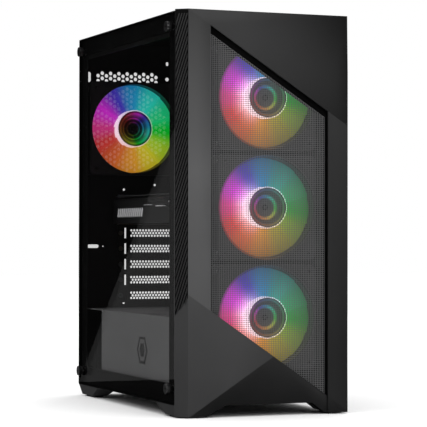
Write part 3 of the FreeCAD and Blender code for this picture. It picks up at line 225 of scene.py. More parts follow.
# %% [markdown]
# ## Finishes: shared effects
# Moulded plastic, powder-coated steel and printed glass differ in colour and gloss, but all of
# them carry the same few effects: a fine grain, uneven gloss, and a little dust on what faces
# up. Each effect is a node group, built once, that gives out masks and normals. The shader
# itself stays in each material.


# %% Effect groups
def effect(name, inputs, outputs):
    """An empty node group with float inputs and typed outputs."""
    tree = bpy.data.node_groups.new(name, "ShaderNodeTree")
    for label, value in inputs.items():
        socket = tree.interface.new_socket(label, in_out="INPUT", socket_type="NodeSocketFloat")
        socket.default_value = value
    for label, kind in outputs.items():
        tree.interface.new_socket(label, in_out="OUTPUT", socket_type=kind)
    return tree, tree.nodes.new("NodeGroupInput"), tree.nodes.new("NodeGroupOutput")


def wire(tree, source, target):
    tree.links.new(source, target)


def node(tree, kind, **settings):
    made = tree.nodes.new(kind)
    for key, value in settings.items():
        setattr(made, key, value)
    return made


def feed(tree, value, target):
    """Give a socket a number, or wire another socket to it."""
    if isinstance(value, (int, float)):
        target.default_value = value
    else:
        wire(tree, value, target)


def maths(tree, operation, *values):
    """A maths node whose inputs are numbers or sockets."""
    made = node(tree, "ShaderNodeMath", operation=operation)
    for socket, value in zip(made.inputs, values):
        feed(tree, value, socket)
    return made.outputs[0]


def place_on(tree):
    """The place on the object, which every pattern here is laid out by."""
    return node(tree, "ShaderNodeTexCoord").outputs["Object"]


def axes(tree, vector):
    """The X, Y and Z of a vector."""
    split = node(tree, "ShaderNodeSeparateXYZ")
    wire(tree, vector, split.inputs[0])
    return split.outputs


def noise(tree, vector, scale, detail):
    """Noise, with a scale that is a number or a socket."""
    made = node(tree, "ShaderNodeTexNoise")
    made.inputs["Detail"].default_value = detail
    wire(tree, vector, made.inputs["Vector"])
    feed(tree, scale, made.inputs["Scale"])
    return made.outputs["Fac"]


def bump(tree, height, strength, distance):
    """The normal that a height gives."""
    made = node(tree, "ShaderNodeBump")
    made.inputs["Distance"].default_value = distance
    feed(tree, strength, made.inputs["Strength"])
    wire(tree, height, made.inputs["Height"])
    return made.outputs["Normal"]


def build_grain():
    """Fine grain: a bump for the surface, and two masks, one fine and one cloudy."""
    tree, start, end = effect("moulded_grain", {"Size": 900.0, "Depth": 0.2},
                              {"Normal": "NodeSocketVector", "Fine": "NodeSocketFloat",
                               "Cloud": "NodeSocketFloat"})
    place = place_on(tree)
    fine = noise(tree, place, start.outputs["Size"], 3.0)
    cloud = noise(tree, place, 14.0, 5.0)
    wire(tree, bump(tree, fine, start.outputs["Depth"], 0.0002), end.inputs["Normal"])
    wire(tree, fine, end.inputs["Fine"])
    wire(tree, cloud, end.inputs["Cloud"])
    return tree


def build_dust():
    """Dust: a mask for what faces up, broken by noise."""
    tree, start, end = effect("settled_dust", {"Amount": 0.3}, {"Mask": "NodeSocketFloat"})
    facing = node(tree, "ShaderNodeTexCoord").outputs["Normal"]
    upward = maths(tree, "MAXIMUM", axes(tree, facing)["Z"], 0.0)
    spots = maths(tree, "POWER", noise(tree, place_on(tree), 260.0, 4.0), 2.0)
    wire(tree, maths(tree, "MULTIPLY", maths(tree, "MULTIPLY", upward, spots),
                     start.outputs["Amount"]), end.inputs["Mask"])
    return tree


def build_brushing():
    """Brushed or drawn metal: noise stretched along one axis."""
    tree, start, end = effect("brushed_lines", {"Size": 220.0, "Depth": 0.3},
                              {"Normal": "NodeSocketVector", "Lines": "NodeSocketFloat"})
    stretch = node(tree, "ShaderNodeMapping")
    stretch.inputs["Scale"].default_value = (1.0, 12.0, 12.0)
    wire(tree, place_on(tree), stretch.inputs["Vector"])
    lines = noise(tree, stretch.outputs["Vector"], start.outputs["Size"], 4.0)
    wire(tree, bump(tree, lines, start.outputs["Depth"], 0.0001), end.inputs["Normal"])
    wire(tree, lines, end.inputs["Lines"])
    return tree


def build_weave():
    """Woven threads: two crossed sine waves give a height and a mask."""
    tree, start, end = effect("woven_threads", {"Size": 1500.0, "Depth": 0.6},
                              {"Normal": "NodeSocketVector", "Threads": "NodeSocketFloat"})
    place = axes(tree, place_on(tree))
    plus = maths(tree, "ADD", place["X"], place["Y"])
    along, across = (maths(tree, "SINE", maths(tree, "MULTIPLY", maths(
        tree, sign, plus, place["Z"]), start.outputs["Size"])) for sign in ("ADD", "SUBTRACT"))
    mask = maths(tree, "MULTIPLY_ADD", maths(tree, "MULTIPLY", along, across), 0.5, 0.5)
    wire(tree, bump(tree, mask, start.outputs["Depth"], 0.0003), end.inputs["Normal"])
    wire(tree, mask, end.inputs["Threads"])
    return tree


def build_painted_shading():
    """Painted shading: a mask that rises from 0 to 1 along one direction of the piece, for light
    and shade painted across a face.
    """
    tree, start, end = effect("painted_shading_gradient", {"X": 0.0, "Z": 0.0, "From": 0.0, "To": 1.0},
                              {"Mask": "NodeSocketFloat"})
    place = axes(tree, place_on(tree))
    along = maths(tree, "ADD", maths(tree, "MULTIPLY", place["X"], start.outputs["X"]),
                  maths(tree, "MULTIPLY", place["Z"], start.outputs["Z"]))
    ranging = node(tree, "ShaderNodeMapRange")
    wire(tree, along, ranging.inputs["Value"])
    wire(tree, start.outputs["From"], ranging.inputs["From Min"])
    wire(tree, start.outputs["To"], ranging.inputs["From Max"])
    wire(tree, ranging.outputs["Result"], end.inputs["Mask"])
    return tree


GRAIN, DUST, BRUSHING, WEAVE = build_grain(), build_dust(), build_brushing(), build_weave()
PAINTED_SHADING = build_painted_shading()
print("effects:", [group.name for group in bpy.data.node_groups])


# %% Helpers that put a finish together
def new_finish(name):
    material = bpy.data.materials.new(name)
    material.use_nodes = True
    tree = material.node_tree
    return material, tree, tree.nodes["Principled BSDF"]


def use_effect(tree, group, **values):
    made = node(tree, "ShaderNodeGroup", node_tree=group)
    for key, value in values.items():
        made.inputs[key].default_value = value
    return made


def between(tree, mask, dark, light):
    """A colour between two, by a mask."""
    ramp = node(tree, "ShaderNodeValToRGB")
    ramp.color_ramp.elements[0].color = (*dark, 1.0)
    ramp.color_ramp.elements[1].color = (*light, 1.0)
    ramp.color_ramp.elements[0].position = 0.3
    ramp.color_ramp.elements[1].position = 0.7
    wire(tree, mask, ramp.inputs["Fac"])
    return ramp.outputs["Color"]


def ranged(tree, mask, low, high):
    """A mask from 0 to 1, spread between two values."""
    made = node(tree, "ShaderNodeMapRange")
    made.inputs["To Min"].default_value = low
    made.inputs["To Max"].default_value = high
    wire(tree, mask, made.inputs["Value"])
    return made.outputs["Result"]


def mixed(tree, mask, first, second):
    """A mix by a mask, of colours that are numbers or sockets."""
    made = node(tree, "ShaderNodeMix", data_type="RGBA")
    wire(tree, mask, made.inputs["Factor"])
    for target, colour in ((made.inputs[6], first), (made.inputs[7], second)):
        if isinstance(colour, tuple):
            target.default_value = (*colour, 1.0)
        else:
            wire(tree, colour, target)
    return made.outputs[2]


def grey(value):
    """A grey with a trace of blue."""
    return (value, value, value * 1.02)


DUST_COLOUR = (0.35, 0.33, 0.30)


def moulded(name, dark, light, rough=(0.4, 0.55), grain=(900.0, 0.2), dust=0.02, metallic=0.0,
            shine=0.5, painted_shading=None):
    """Moulded plastic or powder coat: cloudy colour, fine grain, uneven gloss and dust. With
    painted_shading, the colour changes slowly to another one, painted light and shade across the
    face: (colour, x share, z share, from, to)."""
    material, tree, shader = new_finish(name)
    grain_effect = use_effect(tree, GRAIN, Size=grain[0], Depth=grain[1])
    dust_effect = use_effect(tree, DUST, Amount=dust)
    colour = between(tree, grain_effect.outputs["Cloud"], dark, light)
    # A slow change to another colour here is painted light and shade across the face, not a change
    # of the plastic.
    if painted_shading:
        painted_shading_colour, x_share, z_share, near_end, far_end = painted_shading
        shade = use_effect(tree, PAINTED_SHADING, X=x_share, Z=z_share, From=near_end * MM, To=far_end * MM)
        colour = mixed(tree, shade.outputs["Mask"], colour, painted_shading_colour)
    colour = mixed(tree, dust_effect.outputs["Mask"], colour, DUST_COLOUR)
    wire(tree, colour, shader.inputs["Base Color"])
    wire(tree, ranged(tree, grain_effect.outputs["Fine"], *rough), shader.inputs["Roughness"])
    wire(tree, grain_effect.outputs["Normal"], shader.inputs["Normal"])
    shader.inputs["Metallic"].default_value = metallic
    shader.inputs["Specular IOR Level"].default_value = shine
    return material


def drawn_metal(name, dark, light, rough=(0.25, 0.42), size=220.0):
    """Bare or plated metal with fine drawn lines."""
    material, tree, shader = new_finish(name)
    lines = use_effect(tree, BRUSHING, Size=size, Depth=0.25)
    wire(tree, between(tree, lines.outputs["Lines"], dark, light), shader.inputs["Base Color"])
    wire(tree, ranged(tree, lines.outputs["Lines"], *rough), shader.inputs["Roughness"])
    wire(tree, lines.outputs["Normal"], shader.inputs["Normal"])
    shader.inputs["Metallic"].default_value = 1.0
    return material


# %% [markdown]
# ## Plastic, steel, rubber and metal finishes
# The whole tower is black, and what tells its parts apart is how light each black is: the left
# strip of the front is the lightest, the leaning facets are darker, and the inside of the case is
# nearly black. Much of that is painted light and shade: the front is one plastic whose facets take
# different greys for how the light falls on them, its grooves take a painted shade, and the steel
# inside the case is given a darker grey than the outer sheets as painted shade. So each finish gets
# two close greys and its own gloss.

# %% Plain finishes
POWDER, SATIN, FINE = (1400.0, 0.2), (1100.0, 0.3), (700.0, 0.2)
# The black coat is given a darker grey than the outer coat of the same steel: painted shade for the
# inside of the case.
steel_darkened_for_shade = moulded("powder_coat_darkened_for_shade", grey(0.004), grey(0.007), (0.42, 0.55), POWDER, 0.01,
                      shine=0.25)
outer_steel = moulded("outer_powder_coat", grey(0.022), grey(0.030), (0.42, 0.56), POWDER, 0.03)
shroud_steel = moulded("shroud_powder_coat", grey(0.130), grey(0.145), (0.5, 0.62), POWDER, 0.02)
# The front's facets, ribs and grooves below are one plastic: each grey, and each slow change to
# another colour, is painted light and shade for how the light falls on that facet.
lit_strip_grey = moulded("bezel_lit_strip_grey", grey(0.054), grey(0.062), (0.42, 0.55), SATIN, 0.02,
                        painted_shading=(grey(0.010), 0.0, 1.0, 280.0, 460.0))
triangle_shaded_grey = moulded("bezel_triangle_shaded_grey", grey(0.034), grey(0.040), (0.42, 0.55), SATIN, 0.02,
                           painted_shading=(grey(0.012), 1.0, -0.4, -60.0, 20.0))
upper_facet_shaded_grey = moulded("bezel_upper_facet_shaded_grey", grey(0.021), grey(0.024), (0.42, 0.55), SATIN, 0.02,
                        shine=0.4, painted_shading=(grey(0.002), 1.0, 0.0, -30.0, 105.0))
band_shaded_grey = moulded("bezel_right_band_shaded_grey", grey(0.008), grey(0.010), (0.42, 0.55), SATIN, 0.02,
                       painted_shading=(grey(0.015), 0.0, 1.0, 60.0, 330.0))
lower_plastic = moulded("bezel_lower_facet", grey(0.007), grey(0.010), (0.42, 0.55), SATIN, 0.02)
# The groove grey is painted shade: the near-black of the valleys between the ribs and of the
# recesses.
groove_painted_shade = moulded("bezel_groove_painted_shade", grey(0.001), grey(0.002), (0.6, 0.7), SATIN, 0.0,
                         shine=0.1)
rib_shaded_grey = moulded("bezel_rib_shaded_grey", grey(0.016), grey(0.021), (0.35, 0.48), SATIN, 0.01)
chamfer_lit_grey = moulded("bezel_plain_chamfer_lit_grey", grey(0.029), grey(0.034), (0.42, 0.55), SATIN, 0.01)
foot_plastic = moulded("foot_plastic", grey(0.030), grey(0.038), (0.42, 0.55), (900.0, 0.3), 0.02)
mesh_coat = moulded("mesh_coat", grey(0.100), grey(0.112), (0.42, 0.55), POWDER, 0.0)
rubber = moulded("black_rubber", grey(0.010), grey(0.016), (0.7, 0.85), (500.0, 0.4), 0.02)
fan_housing = moulded("fan_housing", grey(0.006), grey(0.010), (0.4, 0.5), FINE, 0.01)
dark_blade = moulded("dark_blade", grey(0.016), grey(0.024), (0.32, 0.45), FINE, 0.01)
socket_plastic = moulded("socket_plastic", grey(0.020), grey(0.028), (0.4, 0.5), FINE, 0.01)
card_plastic = moulded("card_plastic", grey(0.012), grey(0.018), (0.3, 0.42), (800.0, 0.25), 0.01)
memory_metal = moulded("memory_spreader", grey(0.07), grey(0.09), (0.3, 0.4), (900.0, 0.15), 0.01,
                       0.6)
print_ink = moulded("printed_border", grey(0.003), grey(0.005), (0.7, 0.8), (600.0, 0.05), 0.0,
                    shine=0.05)
front_frame = moulded("front_fan_housing", grey(0.014), grey(0.018), (0.45, 0.55), FINE, 0.01)
screw_steel = drawn_metal("black_screw_steel", grey(0.14), grey(0.22))
heatsink_metal = drawn_metal("heatsink_aluminium", grey(0.22), grey(0.32), (0.32, 0.5))
plated_steel = drawn_metal("plated_steel", grey(0.32), grey(0.42), (0.3, 0.45))
drive_casting = drawn_metal("drive_casting", grey(0.22), grey(0.30), (0.35, 0.5), 60.0)
print("plain finishes:", len(bpy.data.materials))


# %% [markdown]
# ## Finishes with a pattern of their own
# A cable sleeve and the filter cloth are woven, the board shows its copper traces under a black
# mask, and the glass is almost clear with a faint dark tint.

# %% Sleeve, cloth, board and glass
def woven(name, dark, light, size, rough=(0.6, 0.8)):
    """Cloth or sleeve of crossed threads."""
    material, tree, shader = new_finish(name)
    threads = use_effect(tree, WEAVE, Size=size, Depth=0.7)
    wire(tree, between(tree, threads.outputs["Threads"], dark, light), shader.inputs["Base Color"])
    wire(tree, ranged(tree, threads.outputs["Threads"], *rough), shader.inputs["Roughness"])
    wire(tree, threads.outputs["Normal"], shader.inputs["Normal"])
    return material


cable_sleeve = woven("cable_sleeve", grey(0.008), grey(0.03), 2400.0)
filter_cloth = woven("filter_cloth", grey(0.010), grey(0.035), 3200.0)


def board_finish():
    """A black solder mask over fine copper tracks, drawn with a cell pattern."""
    material, tree, shader = new_finish("circuit_board")
    tracks = node(tree, "ShaderNodeTexVoronoi", distance="MANHATTAN", feature="DISTANCE_TO_EDGE")
    tracks.inputs["Scale"].default_value = 130.0
    wire(tree, place_on(tree), tracks.inputs["Vector"])
    line = maths(tree, "LESS_THAN", tracks.outputs["Distance"], 0.06)
    grain_effect = use_effect(tree, GRAIN, Size=1200.0, Depth=0.1)
    mask_colour, track_colour = (0.008, 0.009, 0.009), (0.030, 0.034, 0.032)
    wire(tree, mixed(tree, line, mask_colour, track_colour), shader.inputs["Base Color"])
    wire(tree, ranged(tree, grain_effect.outputs["Cloud"], 0.3, 0.45), shader.inputs["Roughness"])
    wire(tree, bump(tree, line, 0.4, 0.0001), shader.inputs["Normal"])
    return material


# Middle and half size of the sheet inside its ground rim, along Y and along Z.
GLASS_INSIDE = (("Y", 5.5, 177.8), ("Z", 236.35, 220.8))
GLASS_TINT = 0.2


def glass_finish():
    """Clear glass with a dark tint: see-through across the sheet, dark at its ground edges."""
    material, tree, shader = new_finish("tempered_glass")
    smears = use_effect(tree, GRAIN, Size=30.0, Depth=0.0)
    facing = axes(tree, node(tree, "ShaderNodeTexCoord").outputs["Normal"])
    edge = maths(tree, "LESS_THAN", maths(tree, "ABSOLUTE", facing["X"]), 0.5)
    place = axes(tree, place_on(tree))
    for axis, middle, half in GLASS_INSIDE:
        away = maths(tree, "ABSOLUTE", maths(tree, "SUBTRACT", place[axis], middle * MM))
        edge = maths(tree, "MAXIMUM", edge, maths(tree, "GREATER_THAN", away, half * MM))
    wire(tree, ranged(tree, edge, GLASS_TINT, 1.0), shader.inputs["Alpha"])
    shader.inputs["Base Color"].default_value = (0.0, 0.0, 0.0, 1.0)
    wire(tree, ranged(tree, smears.outputs["Cloud"], 0.0, 0.03), shader.inputs["Roughness"])
    shader.inputs["IOR"].default_value = 1.5
    return material


circuit_board = board_finish()
tempered_glass = glass_finish()
print("patterned finishes made")

# %% [markdown]
# ## The rainbow of the lit fans
# Each case fan has coloured lights around its hub that shine through milky blades, so the
# colour depends only on the direction from the hub: blue at the top, green at the right,
# orange at the bottom and pink at the left. A flat map from the front gives every point its
# direction, and an arctangent turns that into a place on a colour ramp.

# %% Rainbow effect and lit finishes
SPECTRUM = ((0.00, (0.01, 0.22, 0.45)), (0.09, (0.02, 0.50, 0.42)), (0.18, (0.01, 0.50, 0.18)),
            (0.26, (0.00, 0.45, 0.02)), (0.34, (0.34, 0.52, 0.02)), (0.42, (0.58, 0.46, 0.02)),
            (0.50, (0.62, 0.25, 0.02)), (0.60, (0.54, 0.09, 0.02)), (0.68, (0.50, 0.03, 0.03)),
            (0.75, (0.54, 0.03, 0.19)), (0.83, (0.54, 0.02, 0.52)), (0.92, (0.05, 0.03, 0.40)),
            (1.00, (0.01, 0.22, 0.45)))


def build_rainbow():
    """Colour by direction from the hub, and the distance from it, read from the flat map."""
    tree, start, end = effect("fan_rainbow", {"Turn": 0.0},
                              {"Colour": "NodeSocketColor", "Distance": "NodeSocketFloat",
                               "Left": "NodeSocketFloat"})
    flat = node(tree, "ShaderNodeUVMap", uv_map="front")
    centre = node(tree, "ShaderNodeMapping")
    centre.inputs["Location"].default_value = (-0.5, -0.5, 0.0)
    wire(tree, flat.outputs["UV"], centre.inputs["Vector"])
    across = axes(tree, centre.outputs["Vector"])
    angle = maths(tree, "ARCTAN2", across["X"], across["Y"])
    share = maths(tree, "ADD", maths(tree, "DIVIDE", angle, 2 * math.pi), start.outputs["Turn"])
    ramp = node(tree, "ShaderNodeValToRGB")
    ramp.color_ramp.interpolation = "EASE"
    for position, colour in SPECTRUM[1:-1]:
        ramp.color_ramp.elements.new(position).color = (*colour, 1.0)
    ramp.color_ramp.elements[0].color = ramp.color_ramp.elements[-1].color = (*SPECTRUM[0][1], 1.0)
    wire(tree, maths(tree, "FRACT", share), ramp.inputs["Fac"])
    length = node(tree, "ShaderNodeVectorMath", operation="LENGTH")
    wire(tree, centre.outputs["Vector"], length.inputs[0])
    wire(tree, ramp.outputs["Color"], end.inputs["Colour"])
    wire(tree, maths(tree, "MULTIPLY", length.outputs["Value"], 2.0), end.inputs["Distance"])
    cosine = maths(tree, "DIVIDE", across["X"], length.outputs["Value"])
    wire(tree, maths(tree, "MULTIPLY", cosine, -1.0), end.inputs["Left"])
    return tree


RAINBOW = build_rainbow()


PALE_PINK, UNLIT = (1.0, 0.84, 0.95), (0.0, 0.0, 0.0)


def lit_finish(name, strength, base, steps, pale=((0.0, 0.0),), alpha=1.0, sides=(1.0, 1.0),
               turn=0.0, pale_from=-1.0):
    """Milky plastic that glows: how bright and how pale it is changes with the distance from the
    hub. It is also brighter on one side than the other, by sides, and palest on the left, by
    pale_from: painted light and shade for how the glow is seen from the left."""
    material, tree, shader = new_finish(name)
    rainbow = use_effect(tree, RAINBOW, Turn=turn)
    grain_effect = use_effect(tree, GRAIN, Size=500.0, Depth=0.1)
    masks = []
    # Brightness from side to side and paleness on the left are painted light and shade.
    for start, stop, low, high in ((-0.4, 0.9, *sides), (pale_from, 0.95, 0.0, 1.0)):
        made = node(tree, "ShaderNodeMapRange")
        for label, value in (("From Min", start), ("From Max", stop),
                             ("To Min", low), ("To Max", high)):
            made.inputs[label].default_value = value
        wire(tree, rainbow.outputs["Left"], made.inputs["Value"])
        masks.append(made.outputs["Result"])
    levels = []
    for stops in (steps, pale):
        ramp = node(tree, "ShaderNodeValToRGB")
        ramp.color_ramp.elements.remove(ramp.color_ramp.elements[1])
        ramp.color_ramp.elements[0].position = stops[0][0]
        ramp.color_ramp.elements[0].color = (stops[0][1],) * 3 + (1.0,)
        for position, value in stops[1:]:
            ramp.color_ramp.elements.new(position).color = (value,) * 3 + (1.0,)
        wire(tree, rainbow.outputs["Distance"], ramp.inputs["Fac"])
        levels.append(ramp.outputs["Color"])
    colour = mixed(tree, maths(tree, "MULTIPLY", levels[1], masks[1]), rainbow.outputs["Colour"],
                   PALE_PINK)
    dimmed = mixed(tree, maths(tree, "MULTIPLY", levels[0], masks[0]), UNLIT, colour)
    wire(tree, dimmed, shader.inputs["Emission Color"])
    shader.inputs["Emission Strength"].default_value = strength
    shader.inputs["Base Color"].default_value = (*base, 1.0)
    shader.inputs["Roughness"].default_value = 0.4
    shader.inputs["Alpha"].default_value = alpha
    wire(tree, grain_effect.outputs["Normal"], shader.inputs["Normal"])
    return material


FLAT_LIGHT = ((0.0, 1.0), (1.0, 1.0))
# The sides and pale settings below paint light and shade on each glow, brighter on one side than
# the other.
front_blade_glow = lit_finish("lit_front_blades", 2.3, grey(0.02),
                              ((0.42, 1.0), (0.53, 0.9), (0.63, 0.78), (0.81, 0.60), (0.95, 0.46),
                               (1.0, 0.36)),
                              ((0.42, 0.55), (0.50, 0.30), (0.60, 0.10), (0.72, 0.0)),
                              sides=(0.32, 1.0), pale_from=0.1)
ring_glow = lit_finish("lit_outer_ring", 2.3, grey(0.01), ((0.0, 0.22), (1.0, 0.22)),
                       sides=(0.0, 1.0))
rear_blade_glow = lit_finish("lit_rear_blades", 1.2, grey(0.02),
                             ((0.42, 1.0), (0.75, 1.0), (1.0, 0.85)), alpha=0.74)
hub_side_glow = lit_finish("lit_hub_side", 1.0, grey(0.6), FLAT_LIGHT, ((0.0, 0.9), (1.0, 0.9)),
                           pale_from=-1.4)
hub_rim_glow = lit_finish("lit_hub_rim", 1.1, grey(0.5), FLAT_LIGHT, ((0.0, 0.8), (1.0, 0.8)),
                          pale_from=-1.6)
bowl_glow = lit_finish("lit_bowl", 1.0, grey(0.01),
                       ((0.0, 0.0), (0.13, 0.0), (0.15, 0.25), (0.17, 0.02), (0.215, 0.06),
                        (0.24, 0.7), (0.26, 0.15), (0.30, 0.35), (0.345, 0.9), (0.37, 0.25)),
                       sides=(1.0, 0.3), turn=-0.2)
front_bowl_glow = lit_finish("lit_front_bowl", 1.2, grey(0.06),
                             ((0.0, 0.0), (0.18, 0.02), (0.205, 0.5), (0.235, 0.6), (0.26, 0.05),
                              (0.33, 0.05), (0.36, 0.3), (0.38, 0.1)))
hub_black = moulded("hub_black", grey(0.003), grey(0.005), (0.3, 0.4), FINE, 0.0, shine=0.25)
print("lit finishes made")

# %% [markdown]
# ## Finishes for the frame's own parts
# Most of the frame's parts already have the right shape, so each takes the finish that its material
# slot in the record asks for. A few take a finish of their own: the shroud over the power supply is
# lighter than the rest of the steel, and the outer sheets take a lighter grey than the steel inside
# the case, whose darker grey is painted shade.

# %% Finish for each part of the frame
BY_SLOT = {"painted_steel": steel_darkened_for_shade, "bezel_plastic": lower_plastic, "mesh_steel": mesh_coat,
           "tempered_glass": tempered_glass, "rubber": rubber, "fan_housing": fan_housing,
           "fan_blade": rear_blade_glow, "dark_blade": dark_blade, "screw_steel": screw_steel,
           "circuit_board": circuit_board, "heatsink": heatsink_metal, "plated_steel": plated_steel,
           "socket_plastic": socket_plastic, "memory_spreader": memory_metal,
           "card_plastic": card_plastic, "cable_sleeve": cable_sleeve, "filter_cloth": filter_cloth,
           "drive_casting": drive_casting}
BY_NODE = {"right_panel": outer_steel, "psu_shroud": shroud_steel, "front_feet": foot_plastic,
           "rear_feet": foot_plastic,
           **{f"front_fan_{level}_frame": front_frame for level in ("bottom", "middle", "top")}}
for part in frame["record"]["subparts"]:
    target = nodes[part["node"]]
    target.data.materials.clear()
    target.data.materials.append(BY_NODE.get(part["node"], BY_SLOT[part["material_slot"]]))

# %% [markdown]
# ## Power leads
# Two sleeved leads run inside the case: one from the board's power socket, one from the
# graphics card's. Each leaves its plug, bends down behind the fans and dips under the shroud
# to the power supply. A lead is one smooth spline whose control points follow the frame's
# route, so it is as long as the frame's lead, and both its ends go into the object. The card's
# lead keeps a little away from the route where that makes its bends gentler.

# %% Leads
MAIN_ROUTE = ((47, -56, 331.5), (31, -57, 331.5), (30, -80.5, 331.5), (54, -88.5, 330.5),
              (84, -87.5, 328.5), (91, -80.5, 303.5), (91.5, -76.5, 250), (91, -66.5, 195),
              (92, -50.5, 145), (91.5, -26.5, 105), (88, -2.5, 78), (64, 7, 69), (36, 18, 70),
              (36, 43, 70))
CARD_ROUTE = ((-68, -21, 247.5), (-85, -25, 249), (-85, -50, 249), (-74, -72, 243), (-52, -82, 220),
              (-24, -84, 198), (20, -86.5, 176), (58, -88.5, 168.5), (84, -85.5, 164),
              (92, -74.5, 150), (93, -54.5, 118), (93, -26.5, 88), (86, 1.5, 62), (68, 12, 52),
              (46, 20, 50), (46, 43, 50))


def lead(name, route, diameter, replaced):
    """A round sleeved lead: one open spline with a round bevel."""
    line = bpy.data.curves.new(name, "CURVE")
    line.dimensions = "3D"
    spline = line.splines.new("NURBS")
    spline.points.add(len(route) - 1)
    for point, place in zip(spline.points, route):
        point.co = (*(v * MM for v in place), 1.0)
    spline.order_u = 3
    spline.use_endpoint_u = True
    spline.resolution_u = 10
    line.bevel_depth = diameter / 2
    line.bevel_resolution = 5
    line.use_fill_caps = True
    line.materials.append(cable_sleeve)
    obj = linked(name, line)
    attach(obj, "chassis")
    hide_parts(replaced)
    print("lead", name, "points", len(route))
    return obj


# %% Plugs on the leads
def plug(name, x, y, z, out, latch):
    """A moulded plug: a block with a stepped rear where the lead enters, a sunk front and a latch.
    """
    body = block(x, y, z)
    pick(body, lambda c, n: n.dot(Vector(out)) > 0.9)
    terrace(out, ((0.6, 0.0), (0.5, 0.9), (1.1, 0.0), (0.3, 0.9)))
    deselect()
    pick(body, lambda c, n: n.dot(Vector(out)) < -0.9)
    terrace(out, ((0.8, 1.5),))
    deselect()
    tab = block(*latch)
    pick(tab, lambda c, n: n.dot(Vector(out)) > 0.9)
    bpy.ops.transform.resize(value=(0.6, 0.6, 0.6))
    deselect()
    body = joined([body, tab])
    soften(body, 0.3 * MM, 2)
    return finish_piece(body, name, "chassis", socket_plastic)


main_plug = plug("main_power_plug", (49.0, 57.0), (-60.5, -51.5), (306.0, 356.0), (-1, 0, 0),
                 ((50.0, 56.5), (-51.5, -50.3), (328.0, 336.0)))
main_lead = lead("main_power_lead", MAIN_ROUTE, 0.009, "main_power_cable")
card_plug = plug("card_power_plug", (-66.0, -52.0), (-30.5, -11.5), (243.0, 252.2), (-1, 0, 0),
                 ((-64.0, -58.0), (-25.0, -17.0), (242.0, 243.0)))
card_lead = lead("card_power_lead", CARD_ROUTE, 0.006, "card_power_cable")

# %% [markdown]
# ## The moulded front
# The front is one moulding with a light left side and a darker frame of leaning facets. Its shape
# comes from the frame's own part: a copy of it, with its loose triangles merged and its flat faces
# joined, takes rounded edges and a finish for each facet. The facets are one plastic, so their
# different greys are painted light and shade, and the near-black of the grooves and recesses is
# painted shade. The chamfer at its left edge is split along the slanted line where the ribs end,
# and the light strip is split from the triangle below it along the lower edge of the window.

# %% Bezel shell
LEFT, FRONT = -105.0, -185.0
CHAMFER_X, CHAMFER_Y = 12.0, 10.0
STRIP_RIGHT, BAND_LEFT = -66.0, 79.5
UPPER_LINE = ((-93.0, 460.0), (105.0, 332.0))
LOWER_LINE = ((-93.0, 139.0), (79.5, 21.0))
APEX_X = 11.5
RIB_END, RIB_END_NORMAL = (-0.105, -0.175, 0.115), (-1.2, 0.0, 0.6)
STRIP_END, STRIP_END_NORMAL = (-0.093, -0.185, 0.139), (0.5646, 0.0, 0.8254)


def on_line(line, x):
    """The height of a line on the front at x."""
    (x0, z0), (x1, z1) = line
    return z0 + (z1 - z0) * (x - x0) / (x1 - x0)


bezel = copy_of(nodes["front_bezel"])
bezel.parent = None
for key in list(bezel.keys()):
    del bezel[key]
edit(bezel)
bpy.ops.mesh.remove_doubles(threshold=0.00001)
bpy.ops.mesh.dissolve_limited(angle_limit=math.radians(0.5), delimit={"NORMAL"})
chamfer = pick(bezel, lambda c, n: n.x < -0.4 and n.y < -0.4)
bpy.ops.mesh.bisect(plane_co=RIB_END, plane_no=RIB_END_NORMAL)
strip = pick(bezel, lambda c, n: n.y < -0.9 and c.y < (FRONT + 3.0) * MM)
bpy.ops.mesh.bisect(plane_co=STRIP_END, plane_no=STRIP_END_NORMAL)
print("chamfer faces", chamfer, "strip faces", strip)


TONES = ("light", "triangle", "upper", "band", "lower", "chamfer", "groove")


def facet_tone(centre, normal):
    """Which grey of the front a face takes, from its place and the way it faces: painted light and
    shade for each facet of one plastic, and painted shade in the grooves.
    """
    x, z = centre.x / MM, centre.z / MM
    # Faces between the ribs and faces set back from the front take the groove grey: painted shade.
    if normal.x < -0.4 and normal.y < -0.4:
        return TONES.index("groove" if z > 125.0 else "chamfer")
    if centre.y / MM > FRONT + 3.6 and abs(normal.x) < 0.9:
        return TONES.index("groove")
    if z > on_line(UPPER_LINE, x) - 1.0:
        return TONES.index("upper")
    if x > BAND_LEFT - 1.0:
        return TONES.index("band")
    if z > on_line(LOWER_LINE, x):
        return TONES.index("light")
    apex = on_line(LOWER_LINE, APEX_X) * (x + 93.0) / (APEX_X + 93.0)
    return TONES.index("lower" if x > APEX_X or z < apex else "triangle")


deselect()
bezel.data.materials.clear()
for finish in (lit_strip_grey, triangle_shaded_grey, upper_facet_shaded_grey, band_shaded_grey, lower_plastic,
               chamfer_lit_grey, groove_painted_shade):
    bezel.data.materials.append(finish)
for face in bezel.data.polygons:
    face.material_index = facet_tone(face.center, face.normal)
soften(bezel, 0.35 * MM, 2, 8.0)
finish_piece(bezel, "bezel_shell", "bezel", replaces=["front_bezel"])

# %% [markdown]
# ## Ribs on the chamfer
# Slanted ribs fill the chamfer at the left edge of the front from the top down to a slanted
# line. One rib is a long bar with rounded front edges. It is tilted, repeated upwards by an
# array, and the row is cut to the chamfer's width with planes, then turned to lie on it.

